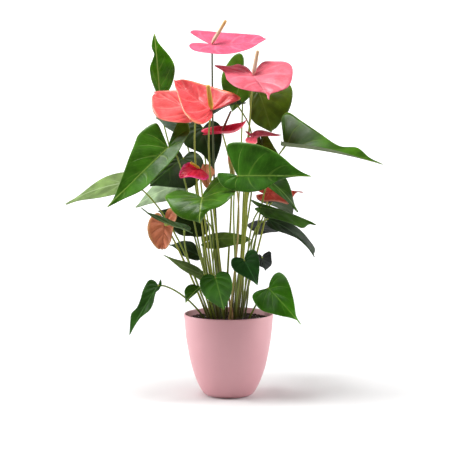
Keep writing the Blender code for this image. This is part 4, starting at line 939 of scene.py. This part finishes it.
def fine_sheet(shape, quilt, veins, rows_per_vein):
    """Both faces and the edge of a blade, swollen by quilt mm between its side veins. Marks hold turn,
    reach and the distance from the midrib for each point, and whether it is on the underside."""
    frame = blade_frame(shape)
    length = frame[4]
    row_count = veins * rows_per_vein
    turn = np.linspace(0.0, 1.0, row_count + 1)[:, None]
    reach = (np.linspace(0.0, 1.0, STEPS_OUT + 1) ** 0.9)[None]
    spots = []
    marks = []
    keys = []
    for side in (1, -1):
        rows = half_outline(shape, side, length)
        drawn_out = (length * TIP_TURN, rows[-1][1] * 0.2 + 0.4, 0.93 * length)
        margin = [(0.0, 0.0, 0.0)] + rows + [drawn_out, (length, 0.0, length)]
        dense = curve_through(margin, MARGIN_PIECES)
        turns = [0.0] + [(k + 1) / (len(rows) + 1) for k in range(len(rows))] + [TIP_TURN, 1.0]
        dense_turns = np.interp(np.arange(len(dense)) / MARGIN_PIECES, np.arange(len(turns)), turns)
        margin_along, margin_across, foot = (np.interp(turn, dense_turns, dense[:, k]) for k in range(3))
        margin_across = np.where(turn > 0.6, np.maximum(0.0, margin_across), margin_across)
        foot = np.clip(foot, 0.0, length)
        foot = np.where((foot > margin_along) & (margin_along > 0.5 * length), margin_along, foot)
        along_mm = foot + (margin_along - foot) * reach
        across_mm = margin_across * reach
        bulge = np.sin(math.pi * (turn * veins - 0.5 * reach ** 2)) ** 2 - 0.5
        bulge = quilt * bulge * np.minimum(1.0, 4.0 * reach) * (1.0 - reach ** 3)
        spot = blade_point(shape, frame, side, along_mm, across_mm, turn, reach)
        spots.append((spot + np.multiply.outer(bulge, frame[3])).reshape(-1, 3))
        whole = np.ones_like(along_mm)
        off_rib = np.hypot(np.minimum(0.0, along_mm), across_mm)
        marks.append(np.stack([turn * side * whole, reach * whole, off_rib], axis=-1).reshape(-1, 3))
        keys.append(np.stack([along_mm, side * across_mm], axis=-1).reshape(-1, 2))
    spots = np.vstack(spots)
    marks = np.vstack(marks)
    places = np.round(np.vstack(keys), 3) + 0.0
    _, first, same_as = np.unique(places, axis=0, return_index=True, return_inverse=True)
    same_as = same_as.ravel()
    points = spots[first]
    marks = marks[first]
    across_count = STEPS_OUT + 1
    half_count = (row_count + 1) * across_count
    faces = []
    for half in (0, 1):
        for row in range(row_count):
            low = half * half_count + row * across_count
            for step in range(STEPS_OUT):
                face = [same_as[low + step], same_as[low + step + 1],
                        same_as[low + across_count + step + 1], same_as[low + across_count + step]]
                face = [c for k, c in enumerate(face) if c != face[k - 1]]
                if len(set(face)) >= 3:
                    faces.append(face if half else face[::-1])
    normals = np.zeros_like(points)
    for face in faces:
        a, b, c = points[face[0]], points[face[1]], points[face[2]]
        across = np.cross(b - a, c - a)
        for corner in face:
            normals[corner] += across
    normals /= np.maximum(np.linalg.norm(normals, axis=1), 1e-9)[:, None]
    if normals[0].dot(frame[3]) < 0:
        normals = -normals
    rib = np.exp(-(marks[:, 2] / 1.1) ** 2) * (1.0 - 0.6 * np.abs(marks[:, 0]))
    rim = 1.0 - 0.6 * np.clip((marks[:, 1] - 0.93) / 0.07, 0.0, 1.0)
    half = BLADE_THICKNESS / 2.0
    upper = points + normals * (half * rim)[:, None]
    under = points - normals * (half * rim + (RIB_THICKNESS - BLADE_THICKNESS) * rib)[:, None]
    count = len(points)
    all_faces = [list(f) for f in faces] + [[c + count for c in f[::-1]] for f in faces]
    edges = set()
    for face in faces:
        for k, corner in enumerate(face):
            edges.add((face[k - 1], corner))
    for start, end in edges:
        if (end, start) not in edges:
            all_faces.append([end, start, start + count, end + count])
    return (np.vstack([upper, under]), all_faces, np.vstack([marks, marks]),
            np.concatenate([np.zeros(count), np.ones(count)]))


def toned(colour, share, lift=0.0):
    """A darker or lighter tone of a colour."""
    return tuple(min(1.0, c * share + lift) for c in colour)


def point_mark(tree, name):
    """A value that the mesh holds for each of its points."""
    return add_node(tree, "Attribute", attribute_name=name).outputs["Fac"]


def off_line(tree, phase):
    """How far the phase is from the middle between two whole numbers, from 0 to 0.5."""
    return number(tree, "ABSOLUTE", number(tree, "SUBTRACT", number(tree, "FRACT", phase), 0.5))


def blade_places(tree, veins):
    """Turn, reach and distance from the midrib of a point of a blade, whether it is below, and how far it
    lies from a side vein."""
    marks = add_node(tree, "Attribute", attribute_name="blade").outputs["Vector"]
    turn_mark, reach, off_rib = add_node(tree, "SeparateXYZ", {0: marks}).outputs
    turn = number(tree, "ABSOLUTE", turn_mark)
    below = point_mark(tree, "under")
    phase = number(tree, "MULTIPLY_ADD", turn, float(veins), times(tree, times(tree, reach, reach), -0.5))
    return turn, reach, off_rib, below, off_line(tree, number(tree, "ADD", phase, 0.5))


def leaf_skin(name, top, under, vein, sheen):
    """The leathery skin of one leaf."""
    skin, tree, shader = new_skin(name, Specular_IOR_Level=0.22)
    turn, reach, off_rib, below, near_vein = blade_places(tree, SIDE_VEINS)
    thick = between(tree, reach, 0.0, 0.95, 0.09, 0.018)
    side_vein = between(tree, number(tree, "DIVIDE", near_vein, thick), 0.35, 1.0, 1.0, 0.0)
    side_vein = times(tree, side_vein, between(tree, reach, 0.70, 0.96, 1.0, 0.0))
    side_vein = times(tree, side_vein, between(tree, turn, 0.45, 0.8, 1.0, 0.45))
    fine_phase = number(tree, "MULTIPLY_ADD", turn, SIDE_VEINS * 5.0, times(tree, cloud(tree, 7.0), 1.6))
    fine_vein = between(tree, off_line(tree, fine_phase), 0.0, 0.14, 1.0, 0.0)
    midrib = between(tree, off_rib, 0.5, 1.5, 1.0, 0.0)
    off_round = number(tree, "ABSOLUTE", number(tree, "SUBTRACT", reach, 0.93))
    round_vein = between(tree, off_round, 0.0, 0.012, 1.0, 0.0)
    margin = between(tree, reach, 0.975, 0.995)
    near_joint = between(tree, reach, 0.0, 0.16, 1.0, 0.0)

    dark = toned(top, 0.62)
    colour = blend(tree, between(tree, cloud(tree, 34.0, detail=3.0), 0.35, 0.68), dark, toned(top, 1.35))
    colour = blend(tree, times(tree, between(tree, near_vein, 0.1, 0.45), 0.30), colour, dark)
    for line, strength in ((fine_vein, 0.07), (near_joint, 0.12), (round_vein, 0.15), (side_vein, 0.42),
                           (midrib, 0.85), (margin, 0.6)):
        colour = blend(tree, times(tree, line, strength), colour, vein)
    below_colour = blend(tree, uneven(tree, 26.0, 0.0, 1.0), toned(under, 0.85), under)
    below_colour = blend(tree, times(tree, number(tree, "MAXIMUM", side_vein, midrib), 0.6),
                         below_colour, toned(under, 1.45))
    gloss = uneven(tree, 18.0, sheen, sheen + 0.12, detail=3.0)
    paint(tree, shader, blend(tree, below, colour, below_colour),
          number(tree, "ADD", gloss, times(tree, below, 0.22)))
    sunk = number(tree, "ADD", times(tree, fine_vein, 0.18), times(tree, side_vein, 0.8))
    bump(tree, shader, number(tree, "SUBTRACT", times(tree, cloud(tree, 3.2, detail=3.0), 0.5), sunk), 0.35)
    return skin


def streaks(tree, across, along, detail):
    """Fine streaks up a stalk or sheath, so many to the metre across it and along it."""
    where = add_node(tree, "TexCoord").outputs["Object"]
    drawn = add_node(tree, "VectorMath", {0: where, 1: (across, across, along)}, operation="MULTIPLY")
    noise = add_node(tree, "TexNoise", {"Vector": drawn.outputs[0], "Scale": 1.0, "Detail": detail})
    return noise.outputs["Fac"]


def stalk_skin(name, low, high, knee):
    """Smooth green stalk skin, browner near the soil, with fine lengthwise streaks and specks."""
    skin, tree, shader = new_skin(name, Specular_IOR_Level=0.4)
    climb = point_mark(tree, "climb")
    colour = blend(tree, between(tree, climb, 0.03, 0.35), low, high)
    colour = blend(tree, between(tree, climb, 0.94, 0.985), colour, knee)
    fine = streaks(tree, 900.0, 45.0, 2.0)
    colour = blend(tree, times(tree, between(tree, fine, 0.42, 0.66), 0.35), colour, toned(high, 0.55))
    paint(tree, shader, colour, uneven(tree, 8.0, 0.36, 0.5))
    bump(tree, shader, fine, 0.12)
    return skin


def stem(line, radii, sides, knee=0.0):
    """A stalk along its bent line, with how far up each point lies, and a knee below the blade."""
    fine = curve_through(line, STALK_PIECES)
    climb = np.linspace(0.0, 1.0, len(fine))
    thick = np.interp(climb, (0.0, 0.06, 1.0), (radii[0] * 1.12, radii[0], radii[1]))
    if knee:
        stretch = np.concatenate([[0.0], np.cumsum(np.linalg.norm(np.diff(fine, axis=0), axis=1))])
        thick = thick + knee * np.exp(-((stretch[-1] - stretch - 5.0) / 6.0) ** 2)
    points, faces = rod(fine, thick, sides)
    return points, faces, np.repeat(climb, sides)


LEAF_VEIN = (0.26, 0.42, 0.06)
PALE_UNDER = (0.20, 0.30, 0.12)
# leaf: upper side, underside, veins, roughness of the gloss. The near-black upper sides of the leaves deep in
# the plant are painted shade.
LEAF_LOOKS = {
    "usual": ((0.045, 0.150, 0.006), PALE_UNDER, LEAF_VEIN, 0.30),
    "upright": ((0.060, 0.215, 0.004), PALE_UNDER, (0.42, 0.58, 0.12), 0.22),
    "great_left": ((0.045, 0.150, 0.007), (0.10, 0.19, 0.05), (0.24, 0.38, 0.06), 0.28),
    "great_centre": ((0.040, 0.145, 0.008), PALE_UNDER, (0.24, 0.42, 0.06), 0.31),
    "great_right": ((0.055, 0.170, 0.004), (0.26, 0.32, 0.18), (0.26, 0.40, 0.06), 0.28),
    "front_centre": ((0.050, 0.160, 0.005), PALE_UNDER, (0.28, 0.42, 0.06), 0.28),
    "bright_right": ((0.045, 0.180, 0.005), (0.12, 0.22, 0.06), (0.18, 0.40, 0.04), 0.28),
    "front_heart": ((0.040, 0.160, 0.005), PALE_UNDER, (0.15, 0.34, 0.04), 0.30),
    "heart_blue": ((0.018, 0.085, 0.011), PALE_UNDER, (0.05, 0.17, 0.04), 0.36),
    "hanging_left": ((0.022, 0.085, 0.006), (0.09, 0.17, 0.05), (0.06, 0.17, 0.03), 0.34),
    "far_left": ((0.160, 0.250, 0.068), (0.19, 0.28, 0.11), (0.34, 0.44, 0.22), 0.5),
    "low_left_back": ((0.26, 0.36, 0.20), (0.32, 0.40, 0.26), (0.38, 0.48, 0.28), 0.5),
    "edge_left": ((0.060, 0.140, 0.038), (0.10, 0.18, 0.06), (0.28, 0.40, 0.14), 0.45),
    "pale_left": ((0.160, 0.240, 0.060), (0.24, 0.31, 0.16), (0.22, 0.31, 0.10), 0.45),
    "olive_back": ((0.065, 0.115, 0.003), (0.10, 0.14, 0.02), (0.12, 0.18, 0.02), 0.38),
    "olive_low": ((0.085, 0.160, 0.013), (0.10, 0.15, 0.04), (0.13, 0.21, 0.04), 0.42),
    "high_back": ((0.050, 0.130, 0.004), (0.16, 0.24, 0.08), (0.14, 0.24, 0.04), 0.34),
    "grey_green": ((0.05, 0.09, 0.05), (0.10, 0.14, 0.08), (0.12, 0.17, 0.08), 0.40),
    # painted shade: the next six leaves sit deep in the crowded plant, and their upper sides are darkened to
    # near black to stand in for the shadow there
    "dark_left": ((0.012, 0.035, 0.004), (0.05, 0.08, 0.03), (0.03, 0.07, 0.02), 0.42),
    "right_dark": ((0.008, 0.026, 0.002), (0.04, 0.07, 0.02), (0.03, 0.07, 0.02), 0.40),
    "lit_edge": ((0.010, 0.030, 0.004), (0.05, 0.08, 0.03), (0.06, 0.10, 0.03), 0.32),
    "dark_centre": ((0.010, 0.030, 0.003), (0.04, 0.07, 0.02), (0.03, 0.07, 0.02), 0.42),
    "dark_mid": ((0.014, 0.040, 0.004), (0.05, 0.08, 0.03), (0.05, 0.11, 0.02), 0.40),
    "dark_low": ((0.014, 0.038, 0.004), (0.05, 0.08, 0.03), (0.05, 0.10, 0.02), 0.42),
    "right_lobe": ((0.070, 0.110, 0.003), (0.10, 0.13, 0.02), (0.12, 0.17, 0.02), 0.38),
    "right_low": ((0.040, 0.115, 0.004), (0.12, 0.18, 0.07), (0.10, 0.20, 0.04), 0.30),
    "right_under": ((0.030, 0.090, 0.005), (0.12, 0.18, 0.07), (0.14, 0.24, 0.06), 0.34),
    "back_grey": ((0.030, 0.036, 0.034), (0.09, 0.10, 0.09), (0.06, 0.08, 0.06), 0.42),
    "back_small": ((0.040, 0.045, 0.045), (0.10, 0.11, 0.10), (0.06, 0.08, 0.06), 0.42),
    # painted shade: back_mid's upper side is darkened to near black in the same way, for the shadow behind the
    # plant
    "back_mid": ((0.010, 0.028, 0.004), (0.05, 0.08, 0.03), (0.04, 0.08, 0.02), 0.40),
    "withered": ((0.86, 0.34, 0.18), (0.80, 0.36, 0.22), (0.60, 0.16, 0.07), 0.55),
}

leaf_stalk_skin = stalk_skin(
    "leaf_stalk_skin", (0.070, 0.060, 0.014), (0.21, 0.27, 0.022), (0.30, 0.38, 0.05))
for name, shape in LEAVES.items():
    top, under, vein, sheen = LEAF_LOOKS.get(name, LEAF_LOOKS["usual"])
    blade_points, blade_faces, blade_marks, under_marks = fine_sheet(
        shape, LEAF_QUILT, SIDE_VEINS, ROWS_PER_VEIN)
    stalk = leaf_stalk_of[name]
    stem_points, stem_faces, climb = stem(stalk["line"], stalk["radii"], LEAF_STALK_SIDES, KNEE_SWELL)
    start = len(blade_points)
    make_piece(
        "leaf_" + name + "_grown",
        np.vstack([blade_points, stem_points]),
        blade_faces + [[c + start for c in f] for f in stem_faces],
        [leaf_skin("leaf_" + name + "_skin", top, under, vein, sheen), leaf_stalk_skin],
        "leaf_" + name,
        marks={
            "blade": np.vstack([blade_marks, np.zeros((len(stem_points), 3))]),
            "under": np.concatenate([under_marks, np.zeros(len(stem_points))]),
            "climb": np.concatenate([np.zeros(start), climb]),
        },
        slots=[0] * len(blade_faces) + [1] * len(stem_faces),
    )

# Each bloom is a waxy heart-shaped spathe, quilted between its veins, on its own stalk, with an upright
# finger of tiny florets on the joint. Old blooms roll up, turn green or fade to brown from the edge.
SPATHE_VEINS = 7
SPATHE_ROWS_PER_VEIN = 12
BLOOM_STALK_SIDES = 12


def spathe_skin(name, face_colour, back_colour, edge_colour, vein_colour, edge_reach, sheen):
    """Waxy, glossy skin with veins that are paler than the flesh, and its own tint along the edge."""
    skin, tree, shader = new_skin(name, Specular_IOR_Level=0.35, Coat_Weight=0.12, Coat_Roughness=0.18)
    turn, reach, off_rib, below, near_vein = blade_places(tree, SPATHE_VEINS)
    side_vein = between(tree, near_vein, 0.0, 0.12, 1.0, 0.0)
    side_vein = times(tree, side_vein, between(tree, reach, 0.7, 0.97, 1.0, 0.0))
    net_phase = number(tree, "MULTIPLY_ADD", turn, SPATHE_VEINS * 4.0, times(tree, cloud(tree, 9.0), 2.6))
    net = between(tree, off_line(tree, net_phase), 0.0, 0.16, 1.0, 0.0)
    midrib = between(tree, off_rib, 0.4, 1.6, 1.0, 0.0)
    colour = blend(tree, between(tree, cloud(tree, 22.0, detail=3.0), 0.34, 0.68),
                   toned(face_colour, 0.80), toned(face_colour, 1.12, 0.02))
    ragged = times(tree, number(tree, "SUBTRACT", cloud(tree, 14.0), 0.5), 0.18)
    edge = between(tree, number(tree, "ADD", reach, ragged), edge_reach, 1.0)
    colour = blend(tree, edge, colour, edge_colour)
    colour = blend(tree, times(tree, net, 0.16), colour, vein_colour)
    colour = blend(tree, times(tree, number(tree, "MAXIMUM", side_vein, midrib), 0.42), colour, vein_colour)
    back = blend(tree, uneven(tree, 20.0, 0.0, 1.0), toned(back_colour, 0.88), back_colour)
    paint(tree, shader, blend(tree, below, colour, back), uneven(tree, 15.0, sheen, sheen + 0.12, detail=3.0))
    sunk = number(tree, "ADD", times(tree, net, 0.3), times(tree, side_vein, 0.8))
    bump(tree, shader, number(tree, "SUBTRACT", times(tree, cloud(tree, 5.0), 0.9), sunk), 0.45)
    return skin


# bloom: face, back, edge and vein colours, reach where the edge tint starts, roughness, quilting in mm
SPATHE_LOOKS = {
    "top": ((0.78, 0.095, 0.19), (0.62, 0.08, 0.16), (0.70, 0.08, 0.18), (0.90, 0.24, 0.34),
     0.9, 0.32, 0.9),
    "right": ((0.82, 0.135, 0.19), (0.66, 0.10, 0.14), (0.80, 0.14, 0.21), (0.93, 0.30, 0.36),
     0.9, 0.32, 1.4),
    "coral": ((0.88, 0.075, 0.085), (0.70, 0.10, 0.08), (0.90, 0.26, 0.12), (0.96, 0.28, 0.26),
     0.86, 0.26, 2.4),
    "salmon": ((0.90, 0.12, 0.12), (0.70, 0.12, 0.10), (0.90, 0.26, 0.18), (0.96, 0.33, 0.30),
     0.88, 0.28, 2.2),
    "crimson": ((0.82, 0.003, 0.045), (0.60, 0.02, 0.06), (0.85, 0.04, 0.22), (0.82, 0.04, 0.14),
     0.7, 0.26, 0.9),
    "canoe": ((0.92, 0.014, 0.075), (0.86, 0.014, 0.08), (0.92, 0.10, 0.20), (0.90, 0.06, 0.14),
     0.88, 0.26, 0.6),
    "rolled": ((0.84, 0.09, 0.15), (0.76, 0.02, 0.075), (0.74, 0.34, 0.28), (0.88, 0.24, 0.26),
     0.8, 0.38, 0.5),
    "fading_right": ((0.66, 0.055, 0.03), (0.52, 0.10, 0.05), (0.76, 0.26, 0.20), (0.42, 0.04, 0.02),
     0.7, 0.42, 1.6),
    "fading_left": ((0.66, 0.19, 0.085), (0.60, 0.22, 0.10), (0.66, 0.34, 0.14), (0.36, 0.07, 0.03),
     0.8, 0.42, 1.6),
}
bloom_stalk_skin = stalk_skin(
    "bloom_stalk_skin", (0.09, 0.07, 0.018), (0.30, 0.33, 0.030), (0.32, 0.36, 0.05))
dark_stalk_skin = stalk_skin("dark_stalk_skin", (0.13, 0.17, 0.03), (0.07, 0.09, 0.02), (0.02, 0.015, 0.012))
for name, shape in BLOOMS.items():
    *skin_look, quilt = SPATHE_LOOKS[name]
    spathe_points, spathe_faces, blade_marks, under_marks = fine_sheet(
        shape, quilt, SPATHE_VEINS, SPATHE_ROWS_PER_VEIN)
    make_piece(
        "spathe_" + name + "_grown", spathe_points, spathe_faces,
        [spathe_skin("spathe_" + name + "_skin", *skin_look)],
        "spathe_" + name, marks={"blade": blade_marks, "under": under_marks},
    )
    stalk = stalk_of[name]
    stem_points, stem_faces, climb = stem(stalk["line"], stalk["radii"], BLOOM_STALK_SIDES)
    make_piece(
        "stalk_" + name + "_grown", stem_points, stem_faces,
        [dark_stalk_skin if name == "top" else bloom_stalk_skin], "stalk_" + name,
        marks={"climb": climb},
    )

# The finger on each spathe is packed with hundreds of tiny square florets in slanting rows. It is cream
# or golden and grows duller towards its tip as the florets ripen.
FLORETS_ROUND = 15
SPADIX_AROUND = 60


def spadix_skin(name, low, high, gap):
    """Matt skin from the colour at the foot to the one at the tip, darker in the gaps between florets."""
    skin, tree, shader = new_skin(name, Specular_IOR_Level=0.35)
    climb = point_mark(tree, "climb")
    floret = point_mark(tree, "floret")
    colour = blend(tree, between(tree, climb, 0.25, 0.95), low, high)
    colour = blend(tree, between(tree, floret, 0.0, 0.55, 0.6, 0.0), colour, gap)
    colour = blend(tree, times(tree, cloud(tree, 3.0), 0.3), colour, gap)
    paint(tree, shader, colour, between(tree, floret, 0.0, 1.0, 0.75, 0.5))
    bump(tree, shader, cloud(tree, 0.5), 0.08)
    return skin


# bloom: thickness in mm, then the colour at the foot, at the tip and between the florets
SPADIX_LOOKS = {
    "top": (3.9, (0.90, 0.70, 0.52), (0.72, 0.42, 0.10), (0.70, 0.40, 0.22)),
    "right": (4.2, (0.88, 0.70, 0.56), (0.84, 0.62, 0.34), (0.70, 0.42, 0.26)),
    "coral": (5.0, (0.86, 0.52, 0.06), (0.80, 0.48, 0.10), (0.62, 0.30, 0.02)),
    "salmon": (4.2, (0.84, 0.50, 0.08), (0.78, 0.46, 0.10), (0.60, 0.30, 0.02)),
    "crimson": (2.6, (0.85, 0.50, 0.03), (0.85, 0.56, 0.06), (0.60, 0.28, 0.02)),
    "canoe": (2.4, (0.34, 0.10, 0.07), (0.26, 0.09, 0.05), (0.12, 0.03, 0.02)),
    "fading_left": (3.4, (0.34, 0.36, 0.05), (0.20, 0.26, 0.04), (0.12, 0.12, 0.02)),
}
for name, (thick, low, high, gap) in SPADIX_LOOKS.items():
    shape = BLOOMS[name]
    joint, _, _, face, _ = blade_frame(shape)
    end = np.array(shape["spadix"], float)
    way = unit(end - joint)
    tilt = math.sqrt(1.0 - min(1.0, way.dot(face)) ** 2)
    steepest = math.radians(max(shape["fold"]))
    foot = joint + face * (BLADE_THICKNESS / 2.0 + PART_GAP + 0.45 * thick * tilt + 0.8 * math.sin(steepest))
    stretch = np.linalg.norm(end - foot)
    floret_high = 2.0 * math.pi * thick * 0.85 / FLORETS_ROUND
    rings = max(24, int(stretch / floret_high * 4))
    climb = np.linspace(0.0, 1.0, rings)
    outline = thick * (0.4 + 0.6 * np.minimum(1.0, climb * 6.0)) * (1.0 - 0.25 * climb)
    outline *= np.sqrt(np.clip(1.0 - ((climb - 0.93) / 0.07).clip(0.0, 1.0) ** 2 * 0.93, 0.05, 1.0))
    centre = foot + np.outer(climb, end - foot)
    points, faces = rod(centre, np.ones(rings), SPADIX_AROUND)
    points = np.array(points).reshape(rings, SPADIX_AROUND, 3)
    turn = np.arange(SPADIX_AROUND) / SPADIX_AROUND * FLORETS_ROUND
    height = climb * stretch / floret_high
    one = np.cos(math.pi * (turn[None] + height[:, None] * 0.5)) ** 2
    other = np.cos(math.pi * (turn[None] - height[:, None] * 0.5)) ** 2
    floret = np.sqrt(one * other)
    swell = outline[:, None] * (0.93 + 0.16 * floret)
    points = centre[:, None] + (points - centre[:, None]) * swell[..., None]
    make_piece(
        "spadix_" + name + "_grown", points.reshape(-1, 3), faces,
        [spadix_skin("spadix_" + name + "_skin", low, high, gap)], "spadix_" + name,
        marks={"climb": np.repeat(climb, SPADIX_AROUND), "floret": floret.ravel()},
    )

# A young bloom, still rolled tight in its brownish red spathe, stands in the notch of the great middle leaf.
BUD_SIDES = 16
BUD_STEPS = 16
BUD_SWELL = ((0.0, 0.15, 0.4, 0.7, 0.9, 1.0), (0.48, 0.75, 1.0, 0.8, 0.4, 0.12))

bud_skin, tree, shader = new_skin("bud_skin", Specular_IOR_Level=0.5)
ripe = between(tree, point_mark(tree, "climb"), 0.86, 0.97)
colour = blend(tree, ripe, (0.30, 0.30, 0.06), (0.42, 0.07, 0.05))
colour = blend(tree, times(tree, cloud(tree, 6.0, detail=3.0), 0.6), colour, (0.50, 0.22, 0.08))
paint(tree, shader, colour, uneven(tree, 8.0, 0.35, 0.5))
bump(tree, shader, cloud(tree, 2.0), 0.2)
stalk = stalk_of["bud"]
bud_top = np.array(BUD["top"], float)
bud_line = list(curve_through(stalk["line"], STALK_PIECES))
bud_radii = list(np.linspace(LEAF_STALK[0], LEAF_STALK[1], len(bud_line)))
for step in np.linspace(0.06, 1.0, BUD_STEPS):
    bud_line.append(stalk["end"] + (bud_top - stalk["end"]) * step)
    bud_radii.append(BUD["thick"] * np.interp(step, *BUD_SWELL))
bud_points, bud_faces = rod(bud_line, bud_radii, BUD_SIDES)
lift = np.linspace(0.0, 1.0, len(bud_line))
make_piece("bud_rolled", bud_points, bud_faces, [bud_skin], "bud",
           marks={"climb": np.repeat(lift, BUD_SIDES)})

# A papery brown sheath from an old leaf still wraps the foot of the oldest stalks. It is creased along its
# length and torn at its tip.
SHEATH_SIDES = 36

sheath_skin, tree, shader = new_skin("sheath_skin", Specular_IOR_Level=0.25)
fibres = streaks(tree, 700.0, 60.0, 3.0)
paint(tree, shader, blend(tree, between(tree, fibres, 0.35, 0.65), (0.22, 0.07, 0.03), (0.55, 0.33, 0.17)),
      between(tree, fibres, 0.3, 0.7, 0.7, 0.9))
bump(tree, shader, fibres, 0.3)
sheath_line = curve_through(SHEATH_LINE, 8)
knots = np.arange(len(SHEATH_RADII))
sheath_radii = np.interp(np.linspace(0, knots[-1], len(sheath_line)), knots, SHEATH_RADII)
sheath_points, sheath_faces = rod(sheath_line, sheath_radii, SHEATH_SIDES)
sheath_points = np.array(sheath_points).reshape(len(sheath_line), SHEATH_SIDES, 3)
around = np.linspace(0.0, 2.0 * math.pi, SHEATH_SIDES, endpoint=False)
deepening = np.sin(np.linspace(0.3, 5.0, len(sheath_line)))[:, None]
crease = 1.0 + 0.10 * np.sin(7 * around)[None] * deepening + 0.06 * np.sin(13 * around + 1.0)[None]
sheath_points = sheath_line[:, None] + (sheath_points - sheath_line[:, None]) * crease[..., None]
make_piece("sheath_dry", sheath_points.reshape(-1, 3), sheath_faces, [sheath_skin], "sheath")

bpy.context.view_layer.update()
